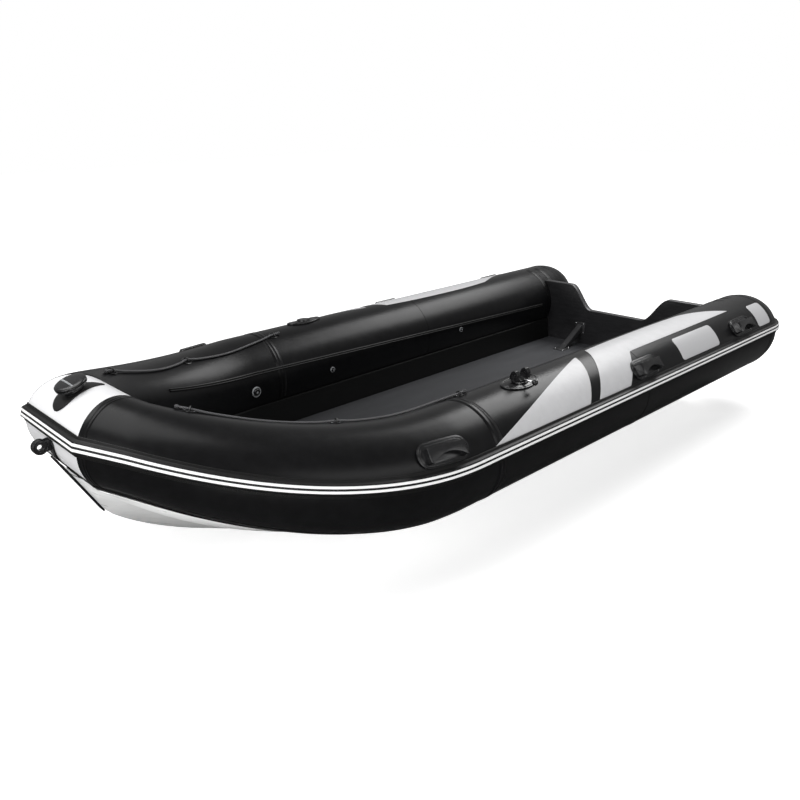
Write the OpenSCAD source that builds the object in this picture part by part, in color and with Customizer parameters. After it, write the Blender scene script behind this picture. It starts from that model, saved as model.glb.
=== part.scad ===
// Rigid inflatable boat: a moulded V hull and flat deck between two inflated side tubes,
// closed by a short bow tube forward and a plywood transom aft.
// Millimetres. +X forward, +Y to port, +Z up. X = 0 is the transom's outer face at its top,
// Y = 0 the centreline and Z = 0 the waterline.

/* [Tubes] */
// Radius of the side tubes along their straight length
tube_r = 250; // [210:10:290]
// From the centreline to the middle of each side tube
tube_y = 830; // [740:10:980]
// Height of the side tubes' middle above the waterline
tube_z = 270; // [230:10:310]
// How far the side tubes reach behind the transom's face
tail_len = 420; // [350:10:520]
// Length of the rounded end of each side tube
tail_cap = 280; // [200:10:340]
// From the transom to where the side tubes start to bend inwards
bend_x = 2910; // [2400:10:3500]
// Reach of the bend's first half
bend_first = 330; // [250:10:500]
// Reach of the bend's second half
bend_second = 465; // [350:10:600]
// From the bend's start to the middle of the bow tube
bow_reach = 1240; // [1050:10:1400]
// Half the length of the bow tube, from the centreline to its mitre
bow_half = 205; // [180:5:280]
// Radius of the bow tube
bow_r = 190; // [170:5:230]
// Angle between the side tube and the centreline where it meets the bow tube
mitre_heading = 54; // [45:1:65]
// From the bend's start to where the tubes start to rise
rise_after = 80; // [0:5:300]
// How far the bow tube's middle lies above the side tubes' middle
sheer = 280; // [200:10:380]

/* [Rubbing strake] */
// Height of the strake's band
strake_h = 76; // [60:2:100]
// How far the strake stands out from the tube
strake_out = 20; // [12:1:30]
// Height of the strake's middle above the tube's middle
strake_up = 62; // [30:2:90]

/* [Hull and deck] */
// Depth of the keel below the side tubes' middle, amidships and at the transom
keel_drop = 508; // [440:4:580]
// Half breadth of the bottom at the chine, amidships
chine_y = 700; // [620:10:740]
// Angle of the bottom's slope at the transom
deadrise = 16; // [10:1:22]
// Depth of the deck below the side tubes' middle
deck_drop = 270; // [240:5:300]
// Thickness of the deck
deck_t = 14; // [8:1:20]
// Width of the black guard along the stem
guard_w = 46; // [30:2:60]
// Thickness of the guard
guard_t = 8; // [5:1:14]

/* [Transom] */
// Thickness of the transom
transom_t = 45; // [30:1:60]
// Half width of the low part that carries the motor
notch_half = 217; // [180:1:260]
// Half width between the tops of the two shoulders
shoulder_half = 410; // [360:5:460]
// Height of the shoulders above the low part
shoulder_up = 180; // [120:5:200]
// Distance of each brace from the centreline
brace_y = 290; // [240:5:330]
// Reach of each brace along the deck
brace_reach = 245; // [200:5:340]
// Height of each brace above the deck
brace_up = 150; // [120:5:220]
// Side of the brace's square bar
brace_w = 44; // [20:1:50]
// Diameter of the drain tubes through the transom
drain_d = 32; // [24:1:40]

/* [Fittings] */
// Length of a carrying handle's base
handle_len = 270; // [220:5:300]
// Height of a handle's base, round the tube
handle_w = 116; // [90:2:130]
// Gap for the fingers between a handle's grip and its base
handle_gap = 30; // [24:1:40]
// From the transom to the aft, middle and fore handles
handle_x = [285, 1465, 3055];
// Position of the handles round the tube, from its outer side upwards
handle_angle = 38; // [30:1:50]
// From the transom to the rowlocks
rowlock_x = 2370; // [2100:10:2600]
// Position of the rowlocks round the tube
rowlock_angle = 84; // [70:1:95]
// Length of a rowlock's oval pad
rowlock_pad_len = 250; // [220:5:300]
// Width of a rowlock's oval pad
rowlock_pad_w = 124; // [100:2:150]
// Diameter of the oar pin's hole through a rowlock's cheeks
oar_pin_d = 12; // [8:1:14]
// Gap between a rowlock's cheeks, where the oar goes
oar_gap = 56; // [40:1:70]
// Diameter of the grab lines
line_d = 12; // [8:1:16]
// Diameter of the bow bollard's cap
bollard_d = 136; // [110:2:170]
// Height of the bollard's cap above its pad
bollard_up = 20; // [18:1:40]
// Diameter of the towing eye's hole
eye_d = 26; // [16:1:36]
// Thickness of the towing eye's ring
eye_t = 24; // [16:1:30]
// Length and height of the blank plate on each side
plate_size = [460, 145];
// Length and height of the blank plate at each tail
tail_plate_size = [175, 165];
// Diameter of an air valve's ring
valve_d = 64; // [50:2:80]

/* [Hidden] */

gap = 0.3;                       // clearance between a soft tube and what lies on it
seat = 0.5;                      // gap under what follows the tubes round their bend
sides = 48;                      // corners of a tube's section
bow_x = bend_x + bow_reach;
rise_x = bend_x + rise_after;
bend_steps = 22;
cap_steps = 7;
deck_z = tube_z - deck_drop;
ramp_x = bend_x + 250;           // where the deck starts to climb to the bow
hull_first_x = transom_t + 2;    // the hull's aft end, against the transom
stem_half = 36;                  // half the stem's breadth where it meets the bow tube
keel_half = 26;                  // half the breadth of the keel's flat
coaming_t = 20;                  // thickness of the wall between deck and tube
lip_out = 14;                    // how far the hull's lip stands off the tube's underside

function mix(a, b, t) = a + (b - a) * t;
function bez(p, t) = pow(1 - t, 3) * p[0] + 3 * pow(1 - t, 2) * t * p[1]
    + 3 * (1 - t) * t * t * p[2] + t * t * t * p[3];
function bez_d(p, t) = 3 * pow(1 - t, 2) * (p[1] - p[0]) + 6 * (1 - t) * t * (p[2] - p[1])
    + 3 * t * t * (p[3] - p[2]);

// ---- the port tube's centreline: [centre, outward vector, radius] at each station ----
bend = [
    [bend_x, tube_y],
    [bend_x + bend_first, tube_y],
    [bow_x - bend_second * cos(mitre_heading), bow_half + bend_second * sin(mitre_heading)],
    [bow_x, bow_half]
];
function rise_at(x) = sheer * pow(max(0, (x - rise_x) / (bow_x - rise_x)), 2);
function radius_at(x) = mix(tube_r, bow_r, pow(max(0, (x - bend_x) / bow_reach), 2));
function centre_at(xy) = [xy[0], xy[1], tube_z + rise_at(xy[0])];
// along the bend, t from 0 to 1
function bend_station(t) = let (p = bez(bend, t), d = bez_d(bend, t) / norm(bez_d(bend, t)))
    [centre_at(p), [-d[1], d[0], 0], radius_at(p[0])];
// on the mitre plane the outward vector is longer, so that both tubes share one ring
mitre_half = (90 - mitre_heading) / 2;
mitre_vec = [cos(mitre_half), sin(mitre_half), 0] / cos(mitre_half);
mitre_station = [centre_at(bend[3]), mitre_vec, bow_r];
// along the straight, x from the tail's tip to the bend
function tail_radius(x) = let (t = (tail_cap - tail_len - x) / tail_cap)
    x >= tail_cap - tail_len ? tube_r : tube_r * sqrt(max(0.002, 1 - t * t));
function straight_station(x) = [[x, tube_y, tube_z], [0, 1, 0], tail_radius(x)];

cap_x = tail_cap - tail_len;
tail_xs = [for (i = [0 : cap_steps]) cap_x - tail_cap * cos(90 * i / cap_steps)];
straight_xs = [for (i = [0 : 10]) mix(cap_x, bend_x, i / 10)];
side_stations = concat(
    [for (x = tail_xs) straight_station(x)],
    [for (i = [1 : 10]) straight_station(straight_xs[i])],
    [for (i = [1 : bend_steps - 2]) bend_station(i / bend_steps)],
    [mitre_station]
);
function mirrored(s) = [[s[0][0], -s[0][1], s[0][2]], [s[1][0], -s[1][1], 0], s[2]];
all_stations = concat(
    side_stations,
    [[[bow_x, 0, tube_z + sheer], [1, 0, 0], bow_r]],
    [for (i = [len(side_stations) - 1 : -1 : 0]) mirrored(side_stations[i])]
);
// a point at angle a round the tube (0 outboard, 90 top) and distance off its skin
function around(s, a, off) = s[0] + (s[2] + off) * (cos(a) * s[1] + sin(a) * [0, 0, 1]);
// the station of the port side nearest to a place x along the straight or t round the bend
function at_x(x) = x <= bend_x ? straight_station(x) : bend_station(bend_t(x));
function bend_t(x, lo = 0, hi = 1, n = 24) = n == 0 ? lo
    : let (m = (lo + hi) / 2) bez(bend, m)[0] < x ? bend_t(x, m, hi, n - 1) : bend_t(x, lo, m, n - 1);

// ---- solids from rings ----
// a closed solid through rings of equal length
module loft(rings) {
    n = len(rings[0]);
    m = len(rings);
    skin = [for (i = [0 : m - 2], j = [0 : n - 1]) let (k = (j + 1) % n)
        each [[i * n + j, (i + 1) * n + k, (i + 1) * n + j], [i * n + j, i * n + k, (i + 1) * n + k]]];
    ends = [for (j = [1 : n - 2]) each
        [[0, j + 1, j], [(m - 1) * n, (m - 1) * n + j, (m - 1) * n + j + 1]]];
    polyhedron(points = [for (r = rings) each r], faces = concat(skin, ends), convexity = 6);
}
function tube_ring(s) = [for (j = [0 : sides - 1]) around(s, -360 * j / sides, 0)];
// a strip that follows the tube's skin, its outline given as [height above the middle, distance out]
function strip_ring(s, outline) = [for (p = outline)
    let (a = asin(max(-0.98, min(0.98, p[0] / s[2])))) around(s, a, seat + p[1])];
// the same for a strip on the inner side, its outline given as [angle, distance out]
function inner_ring(s, outline) = [for (p = outline) around(s, p[0], seat + p[1])];
function unit(v) = v / norm(v);
// places its children on the tube: local Z points out from the skin, local X along the tube
module on_tube(x, a, side = 1, off = gap) {
    along = unit(around(at_x(x + 4), a, 0) - around(at_x(x - 4), a, 0));
    out = unit(cross(along, around(at_x(x), a - 1, 0) - around(at_x(x), a + 1, 0)));
    down = cross(out, along);
    p = around(at_x(x), a, 0) + off * out;
    mirror([0, side < 0 ? 1 : 0, 0]) multmatrix([for (i = [0 : 2]) [along[i], down[i], out[i], p[i]]])
        children();
}
// cuts away from its children what would lie inside a tube of radius r below them
module saddle(r) {
    difference() {
        children();
        translate([0, 0, -r]) rotate([0, 90, 0]) cylinder(r = r, h = 900, center = true, $fn = 96);
    }
}
// a pad of even thickness t, curved to a tube of radius r, in the outline given
module curved_pad(outline, t, r) {
    intersection() {
        translate([0, 0, -r]) rotate([0, 90, 0]) difference() {
            cylinder(r = r + t, h = 900, center = true, $fn = 96);
            cylinder(r = r, h = 901, center = true, $fn = 96);
        }
        translate([0, 0, -r * 0.6]) linear_extrude(r * 0.6 + t + 5) polygon(outline);
    }
}
// an outline with straight sides and round ends
function stadium(len, w) = [for (e = [0, 1], i = [0 : 10])
    let (a = 180 * e - 90 + 18 * i) [(e == 0 ? 1 : -1) * (len - w) / 2 + w / 2 * cos(a), w / 2 * sin(a)]];
function oval(len, w) = [for (i = [0 : 31]) [len / 2 * cos(i * 11.25), w / 2 * sin(i * 11.25)]];
function rectangle(len, w) = [[-len / 2, -w / 2], [len / 2, -w / 2], [len / 2, w / 2], [-len / 2, w / 2]];

// ---- tubes ----
module side_tube(side) {
    color([0.05, 0.05, 0.055]) mirror([0, side < 0 ? 1 : 0, 0])
        loft([for (s = side_stations) tube_ring(s)]);
}
module port_tube() side_tube(1);
module starboard_tube() side_tube(-1);
module bow_tube() {
    mid = [[bow_x, 0, tube_z + sheer], [1, 0, 0], bow_r];
    color([0.9, 0.9, 0.9]) translate([gap, 0, 0])
        loft([tube_ring(mitre_station), tube_ring(mid), tube_ring(mirrored(mitre_station))]);
}

// ---- rubbing strake, one length round the whole boat ----
strake_outline = let (h = strake_h / 2, o = strake_out) [
    for (p = concat([for (i = [0 : 6]) [mix(-h, h, i / 6), 0]],
        [[h, o * 0.25], [h * 0.62, o * 0.5], [h * 0.5, o], [-h * 0.5, o], [-h * 0.62, o * 0.5],
            [-h, o * 0.25]])) [p[0] + strake_up, p[1]]
];
strake_fall = 8;                 // how much nearer the tube's middle the strake lies at the bow
module rub_strake() {
    keep = [for (s = all_stations) if (s[2] > tube_r * 0.72) s];
    color([0.07, 0.07, 0.07]) loft([for (s = keep)
        let (fall = strake_fall * pow(fore_part(s[0][0]), 2))
        strip_ring(s, [for (p = strake_outline) [p[0] - fall, p[1]]])]);
}

// ---- hull ----
// the stem and keel in profile, as [x, height above the side tubes' middle]
stem_top = [bow_x + bow_r * 0.885, sheer - 110];
knuckle = [bow_x + 19, -106];
keel_curve = [
    [bend_x + 250, -keel_drop], [bend_x + 520, -keel_drop],
    knuckle - [230, 210], knuckle
];
function fore_part(x) = max(0, (x - bend_x) / bow_reach);
// stations that carry the hull; the last ones follow the bow tube to the stem
hull_stations = concat(
    [for (i = [0 : 5]) straight_station(mix(hull_first_x, bend_x, i / 5))],
    [for (i = [1 : bend_steps - 2]) bend_station(i / bend_steps)],
    [mitre_station],
    [[[bow_x, bow_half * 0.55, tube_z + sheer], [1, 0, 0], bow_r]],
    [[[bow_x, stem_half, tube_z + sheer], [1, 0, 0], bow_r]]
);
last = len(hull_stations) - 1;
// how far a station lies on the way from the keel's flat part to the stem's top, 0 to 1
function stem_part(i) = i >= last - 2 ? [0.78, 0.9, 1][i - last + 2]
    : let (x = hull_stations[i][0][0]) x <= keel_curve[0][0] ? 0
    : 0.78 * (x - keel_curve[0][0]) / (bow_x - keel_curve[0][0]);
function keel_point(i) = let (u = stem_part(i), x = hull_stations[i][0][0])
    u == 0 ? [x, -keel_drop] : u < 0.7 ? bez(keel_curve, u / 0.7) : mix(knuckle, stem_top, (u - 0.7) / 0.3);
// the floor under the deck: level, then climbing towards the bow
function floor_z(s) = let (u = max(0, (s[0][0] - ramp_x) / (bow_x - ramp_x)))
    deck_z - deck_t + (s[0][2] - 0.72 * s[2] - deck_z) * u * u * (3 - 2 * min(1, u));
function lip_angle(s) = 270 + 34 * pow(fore_part(s[0][0]), 3);
// half a section: floor, up to the tube, round under it, then side, chine and keel
cradle_steps = 19;
cockpit_front = [[-3, 0], [-1, 3], [6, 5]];    // rounds the corners of the cockpit's fore end
function half_section(i) = let (
    s = hull_stations[i],
    f = fore_part(s[0][0]),
    k = keel_point(i),
    keel = [k[0], 0, tube_z + k[1]],
    z = floor_z(s),
    inner = around(s, 208, 12),
    a = lip_angle(s),
    lip = around(s, a, lip_out),
    under = i < last - 3 ? seat : 4 * seat,
    brim = around(s, a + 2, under),
    front = i < last - 2 ? [0, 0] : cockpit_front[i - last + 2],
    chine_share = mix(chine_y / tube_y, 0.62, f),
    chine_rise = mix(chine_y * tan(deadrise) / (keel_drop - tube_r - lip_out), 0.7, f)
) concat(
    [[inner[0] + front[0], 0, z], [inner[0] + front[1], max(inner[1] - coaming_t, stem_half / 3), z],
        [inner[0], max(inner[1], stem_half / 2), inner[2]]],
    [for (t = [0 : cradle_steps - 1]) around(s, mix(208, a, t / cradle_steps), under)],
    [brim, lip, mix(lip, [keel[0], lip[1] * chine_share, mix(keel[2], lip[2], chine_rise)], 0.5),
        [mix(lip[0], keel[0], 0.4), lip[1] * chine_share, mix(keel[2], lip[2], chine_rise)],
        [keel[0], keel_half, keel[2] + 2], keel]
);
function both_sides(h) = let (m = len(h))
    concat(h, [for (j = [m - 2 : -1 : 1]) [h[j][0], -h[j][1], h[j][2]]]);
// a closed solid through rings that mirror about the centreline; its first ring is flat, and its
// last is closed strip by strip
module mirror_loft(halves) {
    m = len(halves[0]);
    n = 2 * m - 2;
    q = len(halves);
    far = (q - 1) * n;
    skin = [for (i = [0 : q - 2], j = [0 : n - 1]) let (k = (j + 1) % n)
        each [[i * n + j, (i + 1) * n + k, (i + 1) * n + j], [i * n + j, i * n + k, (i + 1) * n + k]]];
    strip = concat([[0, 1, n - 1]], [[m - 1, m, m - 2]],
        [for (j = [1 : m - 3]) each [[j, j + 1, n - j - 1], [j, n - j - 1, n - j]]]);
    start = [[for (j = [n - 1 : -1 : 0]) j]];
    end = [for (t = strip) [for (p = t) far + p]];
    polyhedron(points = [for (h = halves) each both_sides(h)], faces = concat(skin, start, end), convexity = 8);
}
module hull() {
    color([0.8, 0.8, 0.78]) mirror_loft([for (i = [0 : last]) half_section(i)]);
}

// ---- deck and transom ----
module deck() {
    color([0.2, 0.2, 0.21]) loft([for (i = [0 : last - 3]) let (
        s = hull_stations[i], e = around(s, 208, 12), z = floor_z(s) + gap, y = e[1] - coaming_t - 5,
        x = i == 0 ? e[0] + gap : e[0])
        [[x, 0, z + deck_t], [x, -y, z + deck_t], [x, -y, z], [x, 0, z], [x, y, z], [x, y, z + deck_t]]]);
}
deck_top = deck_z + gap;
transom_face = transom_t;        // the transom's inner face
keel_z = tube_z - keel_drop;
chine_z = keel_z + chine_y * tan(deadrise);
drain_y = 330;
drain_z = deck_top + 34;
function s_curve(u) = u * u * (3 - 2 * u);
transom_side = concat(
    [[keel_half, keel_z], [chine_y, chine_z], [tube_y, tube_z - tube_r - lip_out],
        [tube_y, tube_z + shoulder_up]],
    [for (i = [10 : -1 : 0]) [mix(notch_half, shoulder_half, i / 10), tube_z + shoulder_up * s_curve(i / 10)]]
);
module transom() {
    color([0.06, 0.06, 0.06]) rotate([90, 0, 90]) linear_extrude(transom_t) difference() {
        polygon(concat(transom_side, [for (i = [len(transom_side) - 1 : -1 : 0])
            [-transom_side[i][0], transom_side[i][1]]]));
        for (side = [-1, 1]) {
            translate([side * tube_y, tube_z]) circle(r = tube_r + gap, $fn = 96);
            translate([side * drain_y, drain_z]) circle(d = drain_d + 2 * gap, $fn = 48);
        }
    }
}
drain_wall = 3;
flange_t = 4;
module transom_drains() {
    color([0.12, 0.12, 0.12]) for (side = [-1, 1])
        translate([0, side * drain_y, drain_z]) rotate([0, 90, 0]) difference() {
            union() {
                translate([0, 0, -flange_t - gap]) cylinder(d = drain_d + 22, h = flange_t, $fn = 64);
                translate([0, 0, -flange_t]) cylinder(d = drain_d, h = transom_t + flange_t + 3, $fn = 64);
            }
            translate([0, 0, -20]) cylinder(d = drain_d - 2 * drain_wall, h = transom_t + 60, $fn = 64);
        }
}
module brace(side) {
    x = transom_face + gap;
    foot_z = deck_top + gap;
    top_z = foot_z + brace_up;
    color([0.09, 0.09, 0.09]) translate([0, side * brace_y + brace_w / 2, 0]) rotate([90, 0, 0]) {
        linear_extrude(brace_w) polygon([
            [x, top_z], [x, top_z - brace_w * 1.2], [x + brace_reach - brace_w * 1.7, foot_z],
            [x + brace_reach, foot_z]
        ]);
        translate([0, 0, -brace_w / 2]) linear_extrude(brace_w * 2) {
            translate([x + brace_reach - 70, foot_z]) square([110, flange_t]);
            translate([x, top_z - brace_w * 1.2 - 20]) square([flange_t, brace_w * 1.2 + 40]);
        }
    }
}
module port_brace() brace(1);
module starboard_brace() brace(-1);
stem_dir = (stem_top - knuckle) / norm(stem_top - knuckle);
module keel_guard() {
    len = norm(stem_top - knuckle) * 0.96;
    color([0.05, 0.05, 0.05]) translate([stem_top[0], 0, tube_z + stem_top[1]])
        rotate([0, -atan2(stem_dir[1], stem_dir[0]), 0])
            translate([-len, -guard_w / 2, -guard_t - gap]) cube([len, guard_w, guard_t]);
}

// ---- what lies along the tubes ----
track_outline = [[-2.5, 0], [2.5, 0], [2.5, 5], [1.4, 9], [-1.4, 9], [-2.5, 5]];
// the track climbs round the tube as it runs forward
function track_ring(s) = let (a = mix(178, 157, s[0][0] / 3200))
    inner_ring(s, [for (p = track_outline) [a + p[0], p[1]]]);
module seat_track(side) {
    stations = concat([for (i = [0 : 6]) straight_station(mix(170, bend_x, i / 6))],
        [for (i = [1 : 13]) bend_station(i / bend_steps)]);
    color([0.1, 0.1, 0.1]) mirror([0, side < 0 ? 1 : 0, 0])
        loft([for (s = stations) track_ring(s)]);
}
module port_seat_track() seat_track(1);
module starboard_seat_track() seat_track(-1);

// ---- carrying handles ----
handle_base_t = 8;
grip_t = 11;
grip_reach = handle_len * 0.385;
grip_top = handle_base_t + handle_gap + grip_t;
// the grip from the side: two legs and a bar
grip_side = let (r = grip_reach, t = grip_top, b = handle_base_t - 2) [
    [-r, b], [-r + 5, t - 7], [-r + 14, t], [r - 14, t], [r - 5, t - 7], [r, b],
    [r - 17, b], [r - 24, t - grip_t - 3], [r - 30, t - grip_t], [-r + 30, t - grip_t],
    [-r + 24, t - grip_t - 3], [-r + 17, b]
];
// the grip from outside: straight above, arched below
grip_face = let (r = grip_reach + 1) concat(
    [[-r, -24], [r, -24], [r, 32], [r - 12, 42], [r - 19, 42]],
    [for (i = [0 : 8]) let (u = 1 - i / 4) [u * (r - 26), 10 + 26 * u * u]],
    [[-r + 19, 42], [-r + 12, 42], [-r, 32]]
);
module handle(side, x) {
    color([0.07, 0.07, 0.07]) on_tube(x, handle_angle, side) {
        curved_pad(stadium(handle_len, handle_w), handle_base_t, tube_r);
        intersection() {
            translate([0, 60, 0]) rotate([90, 0, 0]) linear_extrude(120) polygon(grip_side);
            linear_extrude(grip_top + 5) polygon(grip_face);
        }
    }
}
module port_aft_handle() handle(1, handle_x[0]);
module port_middle_handle() handle(1, handle_x[1]);
module port_fore_handle() handle(1, handle_x[2]);
module starboard_aft_handle() handle(-1, handle_x[0]);
module starboard_middle_handle() handle(-1, handle_x[1]);
module starboard_fore_handle() handle(-1, handle_x[2]);

// ---- rowlocks: a fork that turns on a pin in its pad ----
pad_t = 8;
boss_d = 84;
boss_up = 16;
pivot_d = 16;
pivot_clear = 0.05;
cheek_t = 24;
cheek_w = 46;
cheek_up = 46;
turn_t = 6;
pin_up = 26;
stalk_d = 8;
knob_d = 30;
knob_out = 90;
module rowlock_pad(side) {
    color([0.08, 0.08, 0.08]) on_tube(rowlock_x, rowlock_angle, side) difference() {
        union() {
            curved_pad(oval(rowlock_pad_len, rowlock_pad_w), pad_t, tube_r);
            saddle(tube_r) translate([0, 0, -6]) cylinder(d = boss_d, h = boss_up + 6, $fn = 64);
        }
        translate([0, 0, 4]) cylinder(d = pivot_d + 2 * pivot_clear, h = boss_up, $fn = 48);
    }
}
module port_rowlock_pad() rowlock_pad(1);
module starboard_rowlock_pad() rowlock_pad(-1);
module cheek() {
    rotate([90, 0, 90]) linear_extrude(cheek_t) polygon([
        [-cheek_w / 2, 0], [cheek_w / 2, 0], [cheek_w / 2, cheek_up * 0.45],
        [cheek_w / 2 - 6, cheek_up * 0.8], [cheek_w / 2 - 15, cheek_up], [-cheek_w / 2 + 15, cheek_up],
        [-cheek_w / 2 + 6, cheek_up * 0.8], [-cheek_w / 2, cheek_up * 0.45]
    ]);
}
module port_rowlock() {
    base = boss_up + gap;
    color([0.06, 0.06, 0.06]) on_tube(rowlock_x, rowlock_angle) difference() {
        union() {
            translate([0, 0, base]) linear_extrude(turn_t) polygon(oval(oar_gap + 2 * cheek_t + 8, cheek_w + 12));
            for (s = [-1, 1])
                translate([s * (oar_gap + cheek_t) / 2 - cheek_t / 2, 0, base + turn_t]) cheek();
            translate([0, 0, boss_up - 10]) cylinder(d = pivot_d, h = 12, $fn = 48);
            translate([0, cheek_w / 2 + 2, base + turn_t + 1]) rotate([-84, 0, 0])
                cylinder(d = stalk_d, h = knob_out - cheek_w / 2, $fn = 32);
            translate([0, knob_out, base + turn_t + 8]) sphere(d = knob_d, $fn = 48);
        }
        translate([0, 0, base + turn_t + pin_up]) rotate([0, 90, 0])
            cylinder(d = oar_pin_d, h = 400, center = true, $fn = 48);
    }
}

// ---- grab lines through three eyes on each side ----
eye_places = [[3940, 111, 1.2], [3385, 114, 0.8], [2690, 108, 0]];    // along, round the tube, lifted
eye_ring_r = 18;
eye_wire = 8;
eye_pad_t = 3;
eye_pad_w = 58;
module line_eyes(side) {
    color([0.07, 0.07, 0.07]) for (e = eye_places) on_tube(e[0], e[1], side) {
        r = at_x(e[0])[2];
        translate([0, 0, e[2]]) curved_pad(oval(eye_pad_w, eye_pad_w), eye_pad_t, r);
        translate([0, 0, e[2] + eye_pad_t - 1]) rotate([90, 0, 90]) rotate_extrude(angle = 180, $fn = 48)
            translate([eye_ring_r, 0]) circle(d = eye_wire, $fn = 24);
    }
}
module port_line_eyes() line_eyes(1);
module starboard_line_eyes() line_eyes(-1);
line_end = 40;                   // how far the line runs on past its last eyes
line_sag = 9;                    // how many degrees round the tube the line slips between eyes
line_steps = 9;
line_up = line_d / 2 + 2;        // its middle above the skin between eyes
line_in_eye = eye_pad_t + line_d / 2 + 1.5;
function line_span(a, b) = [for (i = [0 : line_steps - 1]) let (u = i / line_steps)
    [mix(a[0], b[0], u), mix(a[1], b[1], u) + line_sag * sin(180 * u),
        mix(line_in_eye + mix(a[2], b[2], u), line_up, min(1, 4 * sin(180 * u)))]];
line_route = concat([eye_places[0] + [line_end, 0, line_in_eye]],
    line_span(eye_places[0], eye_places[1]), line_span(eye_places[1], eye_places[2]),
    [eye_places[2] + [0, 0, line_in_eye], eye_places[2] + [-line_end, 0, line_in_eye]]);
line_pts = [for (p = line_route) around(at_x(p[0]), p[1], p[2])];
// a tube of round section along points that run mostly fore and aft
function cord_ring(i, pts) = let (
    d = pts[min(i + 1, len(pts) - 1)] - pts[max(i - 1, 0)],
    t = d / norm(d),
    side = cross([0, 0, 1], t) / norm(cross([0, 0, 1], t)),
    up = cross(t, side)
) [for (j = [0 : 7]) pts[i] + line_d / 2 * (cos(-45 * j) * side + sin(-45 * j) * up)];
module grab_line(side) {
    color([0.1, 0.1, 0.1]) mirror([0, side < 0 ? 1 : 0, 0])
        loft([for (i = [len(line_pts) - 1 : -1 : 0]) cord_ring(i, line_pts)]);
}
module port_grab_line() grab_line(1);
module starboard_grab_line() grab_line(-1);

// ---- bow fittings ----
// places its children on the bow tube: local Z out from the skin, local X athwart
module on_bow(a, off = gap) {
    translate([bow_x + gap, 0, tube_z + sheer]) rotate([0, -a, 0])
        translate([bow_r + off, 0, 0]) rotate([90, 0, 90]) children();
}
bollard_angle = 73;
pad_angle = 76;
teardrop = concat(
    [for (i = [0 : 12]) [61 * cos(180 + 15 * i), -55 + 61 * sin(180 + 15 * i)]],
    [[58, -24], [48, 28], [29, 76], [4, 114], [-4, 114], [-29, 76], [-48, 28], [-58, -24]]
);
bow_pad_t = 5;
module bollard_pad() {
    color([0.1, 0.1, 0.1]) on_bow(pad_angle) curved_pad(teardrop, bow_pad_t, bow_r);
}
bollard_neck_d = 78;
bollard_cap_t = 22;
module bollard() {
    color([0.08, 0.08, 0.08]) on_bow(bollard_angle) {
        difference() {
            translate([0, 0, -14]) cylinder(d = bollard_neck_d, h = 14 + bow_pad_t + bollard_up + 1, $fn = 64);
            translate([0, 0, -bow_r]) rotate([0, 90, 0])
                cylinder(r = bow_r + bow_pad_t + gap, h = 900, center = true, $fn = 96);
        }
        translate([0, 0, bow_pad_t + bollard_up]) rotate_extrude($fn = 96) polygon([
            [0, 0], [bollard_d / 2 - 10, 0], [bollard_d / 2, 7], [bollard_d / 2, bollard_cap_t - 8],
            [bollard_d / 2 - 9, bollard_cap_t], [0, bollard_cap_t + 3]
        ]);
    }
}
eye_angle = -3;
eye_stand = 46;
eye_outer = 62;
eye_base = [[-30, -19], [30, -19], [38, 0], [32, 26], [9, 84], [-9, 84], [-32, 26], [-38, 0]];
module towing_eye() {
    color([0.07, 0.07, 0.07]) on_bow(eye_angle) {
        rotate([0, 0, 180]) curved_pad(eye_base, 7, bow_r);
        difference() {
            union() {
                translate([0, 0, eye_stand]) rotate([0, 90, 0])
                    cylinder(d = eye_outer, h = eye_t, center = true, $fn = 64);
                translate([-eye_t / 2, -eye_outer * 0.4, 3]) cube([eye_t, eye_outer * 0.8, eye_stand - 8]);
            }
            translate([0, 0, eye_stand]) rotate([0, 90, 0])
                cylinder(d = eye_d, h = eye_t * 3, center = true, $fn = 64);
        }
    }
}

// ---- blank plates and valves ----
plate_x = 845;
plate_angle = 42;
tail_plate_x = -34;
tail_plate_angle = 44;
plate_t = 2;
module plate(side, x, a, size) {
    color([0.8, 0.8, 0.78]) on_tube(x, a, side) curved_pad(rectangle(size[0], size[1]), plate_t, tube_r);
}
module port_name_plate() plate(1, plate_x, plate_angle, plate_size);
module starboard_name_plate() plate(-1, plate_x, plate_angle, plate_size);
module port_tail_plate() plate(1, tail_plate_x, tail_plate_angle, tail_plate_size);
module starboard_tail_plate() plate(-1, tail_plate_x, tail_plate_angle, tail_plate_size);
valve_places = [[2975, 183], [2370, 183], [1150, 179]];
module valves(side) {
    color([0.35, 0.35, 0.36]) for (i = [0 : 2]) on_tube(valve_places[i][0], valve_places[i][1], side, i == 0 ? 3 * gap : gap)
        saddle(tube_r) translate([0, 0, -4]) {
            d = i == 0 ? valve_d : valve_d * 0.55;
            cylinder(d = d, h = 9, $fn = 64);
            cylinder(d = d * 0.66, h = 15, $fn = 48);
        }
}
module port_valves() valves(1);
module starboard_valves() valves(-1);

hull();
keel_guard();
deck();
transom();
transom_drains();
port_brace();
starboard_brace();
port_tube();
starboard_tube();
bow_tube();
rub_strake();
port_seat_track();
starboard_seat_track();
port_aft_handle();
port_middle_handle();
port_fore_handle();
starboard_aft_handle();
starboard_middle_handle();
starboard_fore_handle();
port_rowlock_pad();
starboard_rowlock_pad();
port_rowlock();
port_line_eyes();
starboard_line_eyes();
port_grab_line();
starboard_grab_line();
bollard_pad();
bollard();
towing_eye();
port_name_plate();
starboard_name_plate();
port_tail_plate();
starboard_tail_plate();
port_valves();
starboard_valves();
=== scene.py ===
"""A rigid inflatable boat on a pale studio floor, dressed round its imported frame."""

import math
from contextlib import contextmanager
from functools import cache

import bpy
from mathutils import Matrix, Vector


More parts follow.
